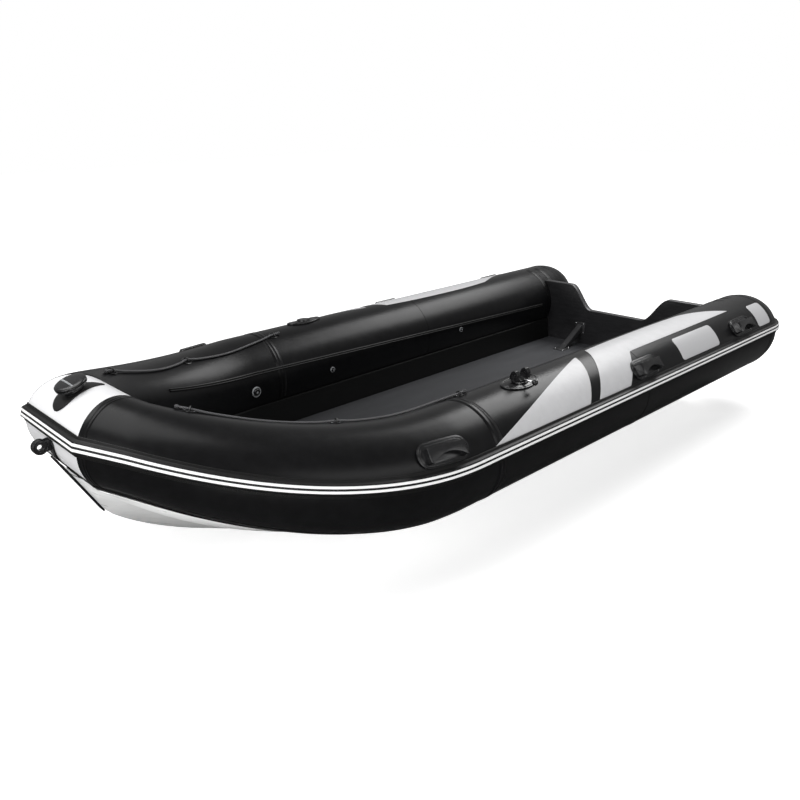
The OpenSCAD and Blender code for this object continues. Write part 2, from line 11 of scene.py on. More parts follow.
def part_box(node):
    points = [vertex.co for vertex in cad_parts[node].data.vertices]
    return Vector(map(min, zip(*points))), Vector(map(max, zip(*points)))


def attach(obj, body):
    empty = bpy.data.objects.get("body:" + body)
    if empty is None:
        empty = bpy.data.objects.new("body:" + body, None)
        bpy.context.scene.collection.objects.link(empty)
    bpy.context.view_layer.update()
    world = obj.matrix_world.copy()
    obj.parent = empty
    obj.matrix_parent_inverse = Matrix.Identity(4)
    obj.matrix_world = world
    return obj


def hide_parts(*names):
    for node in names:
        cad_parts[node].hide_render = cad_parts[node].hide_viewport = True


bl_info = {
    "name": "Rigid inflatable boat",
    "version": (1, 0, 0),
    "blender": (4, 5, 0),
    "location": "3D View > Sidebar > Boat",
    "description": "Dresses the frame of a rigid inflatable boat with its skins, tapes and fittings",
    "category": "Object",
}

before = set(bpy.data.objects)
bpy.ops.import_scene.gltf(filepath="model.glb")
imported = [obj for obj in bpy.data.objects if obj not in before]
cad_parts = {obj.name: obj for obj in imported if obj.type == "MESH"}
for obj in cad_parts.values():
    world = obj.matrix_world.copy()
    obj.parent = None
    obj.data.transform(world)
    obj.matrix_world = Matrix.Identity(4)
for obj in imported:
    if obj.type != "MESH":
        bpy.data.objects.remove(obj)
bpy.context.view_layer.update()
FLOOR_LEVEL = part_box("hull")[0].z - 0.0005  # just under the keel
SIDES = (("port", 1), ("starboard", -1))
UP = Vector((0, 0, 1))

# where the fittings sit: metres from the transom, then degrees round the tube, 90 on top
HANDLES = (("aft", 0.285), ("middle", 1.465), ("fore", 3.055))
HANDLE_ANGLE = 38
HANDLE_BASE = (0.27, 0.116)  # length and width
ROWLOCK = (2.37, 84)
ROWLOCK_PAD = (0.25, 0.124)
PAD_THICK = 0.008  # of the bases of handles and rowlocks
EYES = ((3.94, 111, 0.0012), (3.385, 114, 0.0008), (2.69, 108, 0.0))  # and how far each is lifted
VALVES = ((2.975, 183), (2.37, 183), (1.15, 179))  # the first is the large one
PLATES = (("name", 0.845, 42, (0.46, 0.145)), ("tail", -0.034, 44, (0.175, 0.165)))
BOLLARD_ANGLE = 73
TOWING_ANGLE = -3
LIP_CLIMB = 34  # degrees that the hull's lip climbs round the tube towards the bow
# bands glued round each side tube: where each starts and ends, its lowest angle and its ridges
BANDS = (
    ("panel_band", 2.73, 2.785, -84, (0.3, 0.7)),
    ("middle_seam", 1.468, 1.482, -84, ()),
    ("tail_band", -0.15, -0.12, -84, ()),
    ("transom_band", 0.052, 0.1, 96, (0.35, 0.65)),
    ("outer_transom_band", -0.055, -0.006, 96, (0.35, 0.65)),
)
BAND_TOP = 203  # the angle at which the bands end, inboard
CHAFE_STRIP = (  # share of its width and height off the cloth
    (0, 0.0002), (0.02, 0.0014), (0.3, 0.0014), (0.6, 0.0014), (0.9, 0.0014), (0.94, 0.0024), (0.98, 0.0024),
    (1, 0.0002),
)

# ---- what a user would change ----
def metres(name, default, about):
    return bpy.props.FloatProperty(
        name=name, default=default, description=about, subtype="DISTANCE", unit="LENGTH", precision=4
    )


def turn(name, degrees, about):
    return bpy.props.FloatProperty(
        name=name, default=math.radians(degrees), description=about, subtype="ANGLE", unit="ROTATION"
    )


def colour(name, default, about):
    return bpy.props.FloatVectorProperty(
        name=name, default=default, description=about, subtype="COLOR", size=3, min=0, max=1
    )


class TubeSizes(bpy.types.PropertyGroup):
    radius: metres("Tube radius", 0.25, "Radius of the side tubes")
    half_beam: metres("Half beam", 0.83, "From the centreline to the middle of a side tube")
    height: metres("Tube height", 0.27, "Height of the side tubes' middle over the water")
    tail: metres("Tail", 0.42, "How far the tubes reach behind the transom")
    tail_cone: metres("Tail cap", 0.28, "Length of the rounded end of a side tube")
    bend_start: metres("Bend start", 2.91, "Where the side tubes begin to turn in")
    bend_ease: metres("Bend ease", 0.33, "Pull of the straight on the bend")
    mitre_ease: metres("Mitre ease", 0.465, "Pull of the mitre on the bend")
    bow: metres("Bow tube place", 4.15, "Where the bow tube's middle lies")
    bow_half: metres("Bow tube half length", 0.205, "Half the length of the bow tube")
    bow_radius: metres("Bow tube radius", 0.19, "Radius of the bow tube")
    heading: turn("Mitre heading", 54, "Heading of a side tube where it meets the bow tube")
    rise_start: metres("Sheer start", 2.99, "Where the tubes begin to rise")
    sheer: metres("Sheer", 0.28, "How far the tubes rise to the bow")


class FittingSizes(bpy.types.PropertyGroup):
    tape: metres("Tape thickness", 0.0014, "Thickness of the tapes over the seams")
    patch: metres("Patch thickness", 0.0016, "Thickness of the pale patches on the tubes")
    cord: metres("Grab line", 0.012, "Diameter of the grab lines")
    strake_up: metres("Strake height", 0.062, "Height of the strake's middle over the tube's middle")
    strake_fall: metres("Strake fall", 0.008, "How much nearer the tube's middle the strake lies at the bow")
    bollard: metres("Bollard cap", 0.136, "Diameter of the bollard's cap")


class Colours(bpy.types.PropertyGroup):
    tube: colour("Side tubes", (0.003, 0.003, 0.0033), "Coated cloth of the side tubes")
    patch: colour("Patches", (0.54, 0.54, 0.55), "Pale patches on the side tubes")
    bow: colour("Bow tube", (0.79, 0.79, 0.8), "Coated cloth of the bow tube")
    hull: colour("Hull", (0.86, 0.86, 0.855), "Gelcoat of the hull")
    deck: colour("Deck", (0.036, 0.037, 0.04), "Painted deck")
    transom: colour("Transom", (0.013, 0.013, 0.014), "Painted transom")
    strake: colour("Strake", (0.004, 0.004, 0.004), "Rubber of the strake and tapes")
    line: colour("Strake lines", (0.85, 0.85, 0.85), "The two lines along the strake")
    plastic: colour("Fittings", (0.006, 0.006, 0.0065), "Moulded plastic of the fittings")
    metal: colour("Bright metal", (0.62, 0.62, 0.63), "Stainless screws, rings and stalks")
    brace: colour("Braces", (0.05, 0.05, 0.052), "Coated metal of the braces")
    cord: colour("Grab lines", (0.02, 0.02, 0.021), "Braid of the grab lines")
    plate: colour("Plates", (0.55, 0.55, 0.56), "Blank plates on the tubes")
    valve: colour("Valves", (0.3, 0.31, 0.32), "Moulded rings of the valves")


class StageSizes(bpy.types.PropertyGroup):
    place: bpy.props.FloatVectorProperty(
        name="Camera place", default=(5.263, 2.975, 1.751), subtype="XYZ", unit="LENGTH",
        description="Position of the camera",
    )
    yaw: turn("Camera yaw", -131.15, "Heading of the camera, from the bow's direction")
    pitch: turn("Camera pitch", -23.43, "Tilt of the camera, below the horizon")
    roll: turn("Camera roll", -1.55, "Lean of the camera")
    lens: bpy.props.FloatProperty(name="Lens", default=34.11, unit="CAMERA", description="Focal length")
    shift: bpy.props.FloatVectorProperty(
        name="Shift", default=(0.05, 0.05), size=2, description="Shift of the picture over the sensor"
    )
    floor: metres("Floor size", 60.0, "Side of the studio floor")


def tubes():
    return bpy.context.scene.boat_tubes


def fittings():
    return bpy.context.scene.boat_fittings


def colours():
    return bpy.context.scene.boat_colours


def stage_sizes():
    return bpy.context.scene.boat_stage


# ---- the line that the tubes follow ----
def mix(a, b, t):
    return a + (b - a) * t


def spread(a, b, steps):
    return [mix(a, b, i / steps) for i in range(steps + 1)]


def bend_corners():
    t = tubes()
    c, s = math.cos(t.heading), math.sin(t.heading)
    return [
        Vector((t.bend_start, t.half_beam, 0)),
        Vector((t.bend_start + t.bend_ease, t.half_beam, 0)),
        Vector((t.bow - t.mitre_ease * c, t.bow_half + t.mitre_ease * s, 0)),
        Vector((t.bow, t.bow_half, 0)),
    ]


def bend_point(t):
    p = bend_corners()
    return (1 - t) ** 3 * p[0] + 3 * (1 - t) ** 2 * t * p[1] + 3 * (1 - t) * t * t * p[2] + t**3 * p[3]


def bend_way(t):
    p = bend_corners()
    way = (1 - t) ** 2 * (p[1] - p[0]) + 2 * (1 - t) * t * (p[2] - p[1]) + t * t * (p[3] - p[2])
    return way.normalized()


def centre(x, y):
    t = tubes()
    up = t.sheer * max(0, (x - t.rise_start) / (t.bow - t.rise_start)) ** 2
    return Vector((x, y, t.height + up))


LAST_BEND = 20 / 22  # past this share of the bend the skin runs straight to the mitre
BEND_RUN = 1.36  # length of the bend along the tube's middle


def fore_part(x):
    """0 abaft the bend, growing to 1 at the bow tube's middle."""
    t = tubes()
    return max(0, (x - t.bend_start) / (t.bow - t.bend_start))


def station(q):
    """Middle, outward direction and radius of the port tube at a run q along it."""
    t = tubes()
    if q <= t.bend_start:
        cap = t.tail_cone - t.tail
        k = (cap - q) / t.tail_cone
        r = t.radius if q >= cap else t.radius * math.sqrt(max(0, 1 - k * k))
        return Vector((q, t.half_beam, t.height)), Vector((0, 1, 0)), r
    share = min(1, (q - t.bend_start) / BEND_RUN)
    p, d = bend_point(share), bend_way(share)
    return centre(p.x, p.y), Vector((-d.y, d.x, 0)), mix(t.radius, t.bow_radius, fore_part(p.x) ** 2)


def round_of(where, a, off):
    middle, out, r = where
    return middle + (r + off) * (math.cos(a) * out + math.sin(a) * UP)


def mitre():
    t = tubes()
    half = (math.pi / 2 - t.heading) / 2
    return centre(t.bow, t.bow_half), Vector((1, math.tan(half), 0)), t.bow_radius


def radius_at(q):
    return tubes().bow_radius if q >= run_end() else station(q)[2]


def run_end():
    return tubes().bend_start + BEND_RUN


def skin(q, a, off=0.0, side=1):
    """A place on a side tube: run q, angle a round it (0 outboard, a quarter turn on top), off the cloth."""
    share = (q - tubes().bend_start) / BEND_RUN
    if share <= LAST_BEND:
        p = round_of(station(q), a, off)
    else:
        near = round_of(station(tubes().bend_start + LAST_BEND * BEND_RUN), a, off)
        p = mix(near, round_of(mitre(), a, off), min(1, (share - LAST_BEND) / (1 - LAST_BEND)))
    p.y *= side
    return p


def rim(run, a, off=0.0):
    """A place on the whole tube, run metres to port of the bow's middle, negative to starboard."""
    t = tubes()
    side, run = (1 if run >= 0 else -1), abs(run)
    if run >= t.bow_half:
        return skin(run_end() - (run - t.bow_half), a, off, side)
    p = round_of(mitre(), a, off)
    return Vector((t.bow + (t.bow_radius + off) * math.cos(a), side * p.y * run / t.bow_half, p.z))


def rim_radius(run):
    return radius_at(run_end() - max(0, abs(run) - tubes().bow_half))


def rim_fore_part(run):
    return fore_part(station(min(run_end(), run_end() - abs(run) + tubes().bow_half))[0].x)


def run_at(x):
    """The run at which the tube's middle has reached x."""
    start = tubes().bend_start
    if x <= start:
        return x
    low, high = 0.0, 1.0
    for _ in range(24):
        half = (low + high) / 2
        low, high = (half, high) if bend_point(half).x < x else (low, half)
    return start + low * BEND_RUN


def run_back(d, a):
    """The run that lies a distance along the skin abaft the mitre, at an angle."""
    q, step = run_end(), BEND_RUN / 22
    while True:
        length = (skin(q, a) - skin(q - step, a)).length
        if d <= length:
            return q - step * d / length
        d, q = d - length, q - step


def on_tube(x, degrees, side=1, off=0.0003):
    """Where a fitting sits: its Z points out from the cloth and its X along the tube."""
    a = math.radians(degrees)
    q = run_at(x)
    along = (skin(run_at(x + 0.004), a) - skin(run_at(x - 0.004), a)).normalized()
    round_ = skin(q, a - 0.0175) - skin(q, a + 0.0175)
    out = along.cross(round_).normalized()
    down = out.cross(along)
    m = Matrix((along, down, out)).transposed().to_4x4()
    m.translation = skin(q, a) + off * out
    return Matrix.Diagonal((1, side, 1, 1)) @ m


def on_bow(degrees, off=0.0003):
    """The same on the bow tube, its X athwart."""
    t = tubes()
    m = Matrix.Translation((t.bow + off, 0, t.height + t.sheer))
    m = m @ Matrix.Rotation(-math.radians(degrees), 4, "Y")
    m = m @ Matrix.Translation((t.bow_radius + off, 0, 0))
    return m @ Matrix(((0, 0, 1, 0), (1, 0, 0, 0), (0, 1, 0, 0), (0, 0, 0, 1)))


# ---- ways of making ----
def clear():
    if bpy.context.object and bpy.context.object.mode != "OBJECT":
        bpy.ops.object.mode_set(mode="OBJECT")
    bpy.ops.object.select_all(action="DESELECT")


def pick(piece):
    clear()
    piece.select_set(True)
    bpy.context.view_layer.objects.active = piece


@contextmanager
def opened(piece):
    """Opens a piece for editing with all of it selected, and closes it afterwards."""
    pick(piece)
    bpy.ops.object.mode_set(mode="EDIT")
    bpy.ops.mesh.select_all(action="SELECT")
    yield
    bpy.ops.object.mode_set(mode="OBJECT")


def slide(piece, by, chosen):
    """Moves the points that are chosen."""
    with opened(piece):
        bpy.ops.mesh.select_all(action="DESELECT")
    for point in piece.data.vertices:
        point.select = chosen(point.co)
    bpy.ops.object.mode_set(mode="EDIT")
    bpy.ops.transform.translate(value=by)
    bpy.ops.object.mode_set(mode="OBJECT")


def flipped(piece):
    with opened(piece):
        bpy.ops.mesh.flip_normals()


def merged(piece, near):
    with opened(piece):
        bpy.ops.mesh.remove_doubles(threshold=near)


def closed_up(piece, near):
    with opened(piece):
        bpy.ops.mesh.remove_doubles(threshold=near)
        bpy.ops.mesh.normals_make_consistent(inside=False)


def smooth(piece, degrees=35):
    pick(piece)
    bpy.ops.object.shade_smooth_by_angle(angle=math.radians(degrees), keep_sharp_edges=False)


def modified(piece, kind, **settings):
    pick(piece)
    m = piece.modifiers.new(kind.title(), kind)
    for key, value in settings.items():
        setattr(m, key, value)
    bpy.ops.object.modifier_apply(modifier=m.name)


def rounded(piece, width, segments=2, degrees=32):
    modified(
        piece, "BEVEL", width=width, segments=segments, limit_method="ANGLE",
        angle_limit=math.radians(degrees), use_clamp_overlap=True, harden_normals=False,
    )


def placed(piece, where):
    """Moves a piece's shape to its place, and leaves its object at the origin."""
    piece.data.transform(where)
    if where.determinant() < 0:
        flipped(piece)
    return piece


def joined(pieces, name):
    pick(pieces[0])
    for p in pieces[1:]:
        p.select_set(True)
    if len(pieces) > 1:
        bpy.ops.object.join()
    pieces[0].name = pieces[0].data.name = name
    return pieces[0]


def finished(piece, body, slot, finish, *nodes):
    piece.data.materials.clear()
    piece.data.materials.append(finish)
    for face in piece.data.polygons:
        face.material_index = 0
    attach(piece, body)
    if nodes:
        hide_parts(*nodes)
    return piece


def distances(points):
    """How far along a row each of its points lies."""
    far = [0.0]
    for a, b in zip(points, points[1:]):
        far.append(far[-1] + (b - a).length)
    return far


def laid(name, along, across, place, out=None):
    """A sheet whose points lie where place(along, across) says, with a map of its own in metres."""
    clear()
    bpy.ops.mesh.primitive_grid_add(x_subdivisions=len(along) - 1, y_subdivisions=len(across) - 1, size=2)
    sheet = bpy.context.object
    sheet.name = sheet.data.name = name
    m, n = len(along) - 1, len(across) - 1
    spots = {}
    for v in sheet.data.vertices:
        i, j = round((v.co.x + 1) / 2 * m), round((v.co.y + 1) / 2 * n)
        spots[v.index] = (i, j)
        v.co = place(along[i], across[j])
    length = distances([place(run, across[n // 2]) for run in along])
    width = distances([place(along[m // 2], step) for step in across])
    own = sheet.data.uv_layers.active.data
    for loop in sheet.data.loops:
        i, j = spots[loop.vertex_index]
        own[loop.index].uv = (length[i], width[j])
    sheet.data.update()
    if out is not None:
        face = sheet.data.polygons[len(sheet.data.polygons) // 2]
        if face.normal.dot(face.center - out(face.center)) < 0:
            flipped(sheet)
    return sheet


def tube_middle(p):
    """The nearest middle of the tube to a place, to tell outwards from inwards."""
    q = run_at(min(p.x, tubes().bow))
    c = station(min(q, run_end()))[0]
    return Vector((c.x, c.y if p.y >= 0 else -c.y, c.z))


def band(name, side, q_at, a0, a1, lifts, steps=96):
    """A raised band round a tube.

    lifts are (share across the band, height); q_at gives the run at a share and an angle.
    """
    shares = [s for s, _ in lifts]
    height = dict(lifts)
    strip = laid(
        name, shares, spread(a0, a1, steps), lambda s, a: skin(q_at(s, a), a, height[s], side), tube_middle
    )
    smooth(strip, 50)
    return strip


def swept(name, runs, outline, place):
    """A closed strip: its outline, (height, out) points in a ring, carried along the runs."""
    ring = list(range(len(outline) + 1))
    strip = laid(name, runs, ring, lambda run, i: place(run, *outline[i % len(outline)]))
    with opened(strip):
        bpy.ops.mesh.remove_doubles(threshold=1e-6)
        bpy.ops.mesh.select_all(action="DESELECT")
        bpy.ops.mesh.select_non_manifold()
        bpy.ops.mesh.edge_face_add()
        bpy.ops.mesh.select_all(action="SELECT")
        bpy.ops.mesh.normals_make_consistent(inside=False)
    return strip


def turned(name, steps, corners=48, edge=0.0):
    """A round piece drawn up from a disc through (radius, height) steps."""
    clear()
    bpy.ops.mesh.primitive_circle_add(
        vertices=corners, radius=steps[0][0], fill_type="NGON", location=(0, 0, steps[0][1])
    )
    piece = bpy.context.object
    bpy.ops.object.transform_apply(location=True, rotation=True, scale=True)
    piece.name = piece.data.name = name
    with opened(piece):
        for (r0, z0), (r1, z1) in zip(steps, steps[1:]):
            bpy.ops.mesh.extrude_region_move(TRANSFORM_OT_translate={"value": (0, 0, z1 - z0)})
            if r1 != r0:
                bpy.ops.transform.resize(value=(r1 / r0, r1 / r0, 1), center_override=(0, 0, z1))
        bpy.ops.mesh.select_all(action="SELECT")
        bpy.ops.mesh.normals_make_consistent(inside=False)
    if edge:
        rounded(piece, edge, 2, 25)
    smooth(piece, 40)
    return piece


def copied(node, name, edge=0.0, segments=2, degrees=32, flat=1.0):
    """A copy of a frame node as one clean skin, with its edges rounded."""
    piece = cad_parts[node].copy()
    piece.data = piece.data.copy()
    bpy.context.scene.collection.objects.link(piece)
    piece.parent = None
    piece.matrix_world = Matrix.Identity(4)
    for key in list(piece.keys()):
        del piece[key]
    piece.hide_render = piece.hide_viewport = False
    piece.name = piece.data.name = name
    with opened(piece):
        bpy.ops.mesh.customdata_custom_splitnormals_clear()
        bpy.ops.mesh.remove_doubles(threshold=2e-5)
        if flat:
            bpy.ops.mesh.dissolve_limited(angle_limit=math.radians(flat))
        bpy.ops.mesh.select_all(action="SELECT")
        bpy.ops.mesh.normals_make_consistent(inside=False)
    if edge:
        rounded(piece, edge, segments, degrees)
    smooth(piece)
    return piece


def bolt(name, size=0.009):
    """A domed screw head on its washer."""
    r = size / 2
    dome = ((1.7, 0), (1.7, 0.25), (1.05, 0.3), (1, 0.55), (0.8, 0.85), (0.4, 1.0), (0.05, 1.02))
    return turned(name, [(r * across, r * up) for across, up in dome], 20)


# ---- finishes ----
class Amount:
    """A shader value on which Python's signs work."""

    def __init__(self, finish, socket):
        self.finish, self.socket = finish, socket

    def _with(self, operation, a, b=0.0):
        node = self.finish.add("ShaderNodeMath", {"operation": operation}, [a, b])
        return Amount(self.finish, node.outputs[0])

    def __add__(self, other):
        return self._with("ADD", self, other)

    def __radd__(self, other):
        return self._with("ADD", other, self)

    def __sub__(self, other):
        return self._with("SUBTRACT", self, other)

    def __rsub__(self, other):
        return self._with("SUBTRACT", other, self)

    def __mul__(self, other):
        return self._with("MULTIPLY", self, other)

    def __rmul__(self, other):
        return self._with("MULTIPLY", other, self)

    def __truediv__(self, other):
        return self._with("DIVIDE", self, other)

    def sine(self):
        return self._with("SINE", self)

    def most(self, other):
        return self._with("MAXIMUM", self, other)


class Nodes:
    """A shader's nodes, each made by one call."""

    def __init__(self, tree):
        self.tree = tree
        tree.nodes.clear()

    def add(self, kind, settings=None, sockets=()):
        """Adds a node of a kind: its settings first, then its sockets by place or name."""
        node = self.tree.nodes.new(kind)
        for key, value in (settings or {}).items():
            if key == "stops":
                for i, (at, shade) in enumerate(value):
                    stop = node.color_ramp.elements[i] if i < 2 else node.color_ramp.elements.new(at)
                    stop.position, stop.color = at, (shade, shade, shade, 1)
            else:
                setattr(node, key, value)
        pairs = sockets.items() if isinstance(sockets, dict) else enumerate(sockets)
        for key, value in pairs:
            value = value.socket if isinstance(value, Amount) else value
            if isinstance(value, bpy.types.NodeSocket):
                self.tree.links.new(value, node.inputs[key])
            elif value is not None:
                if node.inputs[key].type == "RGBA" and len(value) == 3:
                    value = (*value, 1)
                node.inputs[key].default_value = value
        return node


class Finish(Nodes):
    """One material: its shader with plain values, and the nodes that vary it."""

    def __init__(self, name, **plain):
        self.material = bpy.data.materials.new(name)
        self.material.use_nodes = True
        super().__init__(self.material.node_tree)
        self.shader = self.add("ShaderNodeBsdfPrincipled")
        self.tree.links.new(self.shader.outputs[0], self.add("ShaderNodeOutputMaterial").inputs[0])
        for key, value in plain.items():
            socket = self.shader.inputs[key.replace("_", " ").title().replace("Ior", "IOR")]
            socket.default_value = (*value, 1) if socket.type == "RGBA" else value

    def where(self, own=False, stretch=(1, 1, 1)):
        source = self.add("ShaderNodeTexCoord").outputs["UV" if own else "Object"]
        if tuple(stretch) == (1, 1, 1):
            return source
        return self.add("ShaderNodeMapping", None, {"Vector": source, "Scale": stretch}).outputs[0]

    def part(self, place, axis):
        return Amount(self, self.add("ShaderNodeSeparateXYZ", None, [place]).outputs[axis])

    def noise(self, place, scale, detail=3.0, rough=0.5):
        node = self.add(
            "ShaderNodeTexNoise", None, {"Vector": place, "Scale": scale, "Detail": detail, "Roughness": rough}
        )
        return Amount(self, node.outputs[0])

    def ramp(self, value, *stops):
        return Amount(self, self.add("ShaderNodeValToRGB", {"stops": stops}, [value]).outputs[0])

    def tint(self, share, a, b):
        node = self.add("ShaderNodeMix", {"data_type": "RGBA"}, {0: share, 6: a, 7: b})
        return node.outputs[2]

    def colour(self, socket):
        self.tree.links.new(socket, self.shader.inputs["Base Color"])

    def rough(self, value):
        self.tree.links.new(value.socket, self.shader.inputs["Roughness"])

    def relief(self, *layers):
        """Bumps laid one on the next: (height, strength, distance)."""
        normal = None
        for height, strength, distance in layers:
            node = self.add(
                "ShaderNodeBump", None,
                {"Height": height, "Strength": strength, "Distance": distance, "Normal": normal},
            )
            normal = node.outputs[0]
        self.tree.links.new(normal, self.shader.inputs["Normal"])


def scaled(shade, k):
    return tuple(min(1.0, c * k) for c in shade)


def coated_cloth(name, shade, rough, spec, dirt, coat=0.0):
    """Coated cloth: a fine weave under a smooth coat, slow shading and a little dust."""
    f = Finish(name, roughness=rough, coat_roughness=0.2, coat_weight=coat, specular_ior_level=spec)
    place, own = f.where(), f.where(own=True)
    threads = 2900.0
    cloudy = f.noise(place, 2.3, 3)
    dusty = f.noise(place, 19, 5, 0.62)
    soiled = f.ramp(dusty * 0.6 + cloudy * 0.4, (0.42, 0), (0.7, 1))
    f.colour(f.tint(soiled, shade, scaled(shade, dirt)))
    f.rough(rough - 0.07 + cloudy * 0.08 + dusty * 0.08)
    u, v = f.part(own, 0), f.part(own, 1)
    weave = (u * threads).sine() * (v * threads).sine()
    f.relief((cloudy, 0.35, 0.01), (f.noise(place, 55, 2), 0.06, 0.002), (weave, 0.1, 0.0002))
    return f.material


@cache
def tube_cloth():
    return coated_cloth("tube_cloth", colours().tube, 0.29, 0.15, 1.8)


@cache
def patch_cloth():
    return coated_cloth("patch_cloth", colours().patch, 0.45, 0.5, 0.9)


@cache
def bow_cloth():
    return coated_cloth("bow_cloth", colours().bow, 0.3, 0.5, 0.93, 0.3)


def rubber(name, shade, rough, grain):
    f = Finish(name, roughness=rough, specular_ior_level=0.25)
    place = f.where()
    fine = f.noise(place, 420, 3, 0.6)
    scuffs = f.noise(f.where(stretch=(0.25, 1, 3)), 45, 5, 0.7)
    worn = f.ramp(scuffs, (0.55, 0), (0.75, 1))
    f.colour(f.tint(worn * 0.55, shade, scaled(shade, 1.9 if max(shade) < 0.3 else 0.86)))
    f.rough(rough + worn * 0.12 + fine * 0.06)
    f.relief((fine, grain, 0.0005))
    return f.material


@cache
def strake_rubber():
    return rubber("strake_rubber", colours().strake, 0.42, 0.35)


@cache
def line_rubber():
    return rubber("line_rubber", colours().line, 0.5, 0.2)


@cache
def tape_rubber():
    return rubber("tape_rubber", scaled(colours().strake, 0.8), 0.34, 0.15)


@cache
def pad_rubber():
    return rubber("pad_rubber", scaled(colours().strake, 1.9), 0.5, 0.3)


@cache
def gelcoat():
    """Hull gelcoat: glossy, with faint orange peel and a few long stains."""
    f = Finish("gelcoat", roughness=0.28, coat_weight=0.6, coat_roughness=0.08)
    place = f.where()
    stains = f.noise(f.where(stretch=(0.4, 1, 5)), 6, 5, 0.6)
    peel = f.noise(place, 160, 2)
    fair = f.noise(place, 3.2, 2)
    shade = colours().hull
    f.colour(f.tint(f.ramp(stains, (0.5, 0), (0.78, 0.6)), shade, scaled(shade, 0.84)))
    f.rough(0.24 + stains * 0.1)
    f.relief((fair, 0.12, 0.01), (peel, 0.08, 0.0006))
    return f.material


@cache
def deck_paint():
    """Deck paint: brushed fore and aft over a fine grit, with painted shade that darkens it towards the bow."""
    f = Finish("deck_paint", roughness=0.6, specular_ior_level=0.3)
    streaks = f.noise(f.where(stretch=(0.5, 26, 8)), 9, 6, 0.65)
    broad = f.noise(f.where(stretch=(0.6, 3.4, 1)), 2.2, 4, 0.6)
    grit = f.noise(f.where(), 950, 2, 0.7)
    shade = colours().deck
    marks = f.ramp(streaks * 0.65 + broad * 0.35, (0.38, 0), (0.66, 1))
    # painted shade: the deck's colour darkens from 0.5 m to 3 m forward, down to under half its shade at the bow
    bow_painted_shade = f.ramp(f.part(f.where(), 0) * 0.3, (0.15, 0), (0.9, 1))
    brushed = f.tint(marks, scaled(shade, 0.85), scaled(shade, 1.7))
    f.colour(f.tint(bow_painted_shade, brushed, scaled(shade, 0.45)))
    f.rough(0.48 + streaks * 0.2)
    f.relief((streaks, 0.12, 0.001), (grit, 0.4, 0.0005))
    return f.material


@cache
def transom_paint():
    f = Finish("transom_paint", roughness=0.3, coat_weight=0.35, coat_roughness=0.12)
    grain = f.noise(f.where(stretch=(1, 1.4, 22)), 7, 6, 0.6)
    peel = f.noise(f.where(), 130, 2)
    shade = colours().transom
    f.colour(f.tint(f.ramp(grain, (0.45, 0), (0.75, 1)), shade, scaled(shade, 1.8)))
    f.rough(0.25 + grain * 0.14)
    f.relief((grain, 0.1, 0.0008), (peel, 0.08, 0.0005))
    return f.material


@cache
def moulded():
    """Moulded plastic: a fine leather grain under a soft gloss."""
    f = Finish("moulded", roughness=0.26, specular_ior_level=0.4)
    place = f.where()
    cells = Amount(f, f.add("ShaderNodeTexVoronoi", None, {"Vector": place, "Scale": 900.0}).outputs[0])
    wear = f.noise(place, 60, 5, 0.65)
    shade = colours().plastic
    f.colour(f.tint(f.ramp(wear, (0.5, 0), (0.8, 1)), shade, scaled(shade, 2.2)))
    f.rough(0.19 + wear * 0.12)
    f.relief((cells, 0.22, 0.0003))
    return f.material


@cache
def bright_metal():
    f = Finish("bright_metal", metallic=1.0, roughness=0.25)
    lines = f.noise(f.where(stretch=(1, 1, 40)), 60, 4)
    f.colour(f.tint(lines, scaled(colours().metal, 0.85), colours().metal))
    f.rough(0.16 + lines * 0.16)
    f.relief((lines, 0.06, 0.0002))
    return f.material


@cache
def brace_coat():
    f = Finish("brace_coat", metallic=0.6, roughness=0.42)
    speckle = f.noise(f.where(), 700, 2)
    wear = f.noise(f.where(), 40, 5, 0.7)
    f.colour(f.tint(f.ramp(wear, (0.55, 0), (0.85, 1)), colours().brace, scaled(colours().brace, 2.4)))
    f.rough(0.34 + wear * 0.16)
    f.relief((speckle, 0.2, 0.0003))
    return f.material


@cache
def braid():
    """Braided cord: strands cross both ways on the cord's own map, their crowns lightened as a painted highlight
    and their hollows darkened as painted shade.
    """
    f = Finish("braid", roughness=0.62)
    own = f.where(own=True)
    u, v = f.part(own, 0), f.part(own, 1)
    turns, pitch = math.tau / (math.pi * fittings().cord), 520.0
    strands = (u * pitch + v * turns * 4).sine().most((u * pitch - v * turns * 4).sine())
    fluff = f.noise(f.where(), 900, 3)
    shade = colours().cord
    # painted highlight on the strands' crowns, up to seven times the cord's colour, and painted shade in the
    # hollows between them, under half of it
    f.colour(f.tint(f.ramp(strands, (0.35, 0), (0.98, 1)), scaled(shade, 0.4), scaled(shade, 7)))
    f.rough(0.52 + fluff * 0.2)
    f.relief((strands, 0.8, 0.0012), (fluff, 0.2, 0.0003))
    return f.material


@cache
def plate_sheet():
    f = Finish("plate_sheet", roughness=0.34, metallic=0.15)
    lines = f.noise(f.where(stretch=(1, 30, 30)), 14, 4)
    f.colour(f.tint(lines, scaled(colours().plate, 0.92), scaled(colours().plate, 1.06)))
    f.rough(0.26 + lines * 0.14)
    f.relief((lines, 0.05, 0.0003))
    return f.material


@cache
def valve_plastic():
    f = Finish("valve_plastic", roughness=0.4)
    grain = f.noise(f.where(), 500, 3)
    dust = f.noise(f.where(), 35, 4)
    f.colour(f.tint(dust, scaled(colours().valve, 0.8), scaled(colours().valve, 1.15)))
    f.rough(0.34 + dust * 0.12)
    f.relief((grain, 0.15, 0.0003))
    return f.material


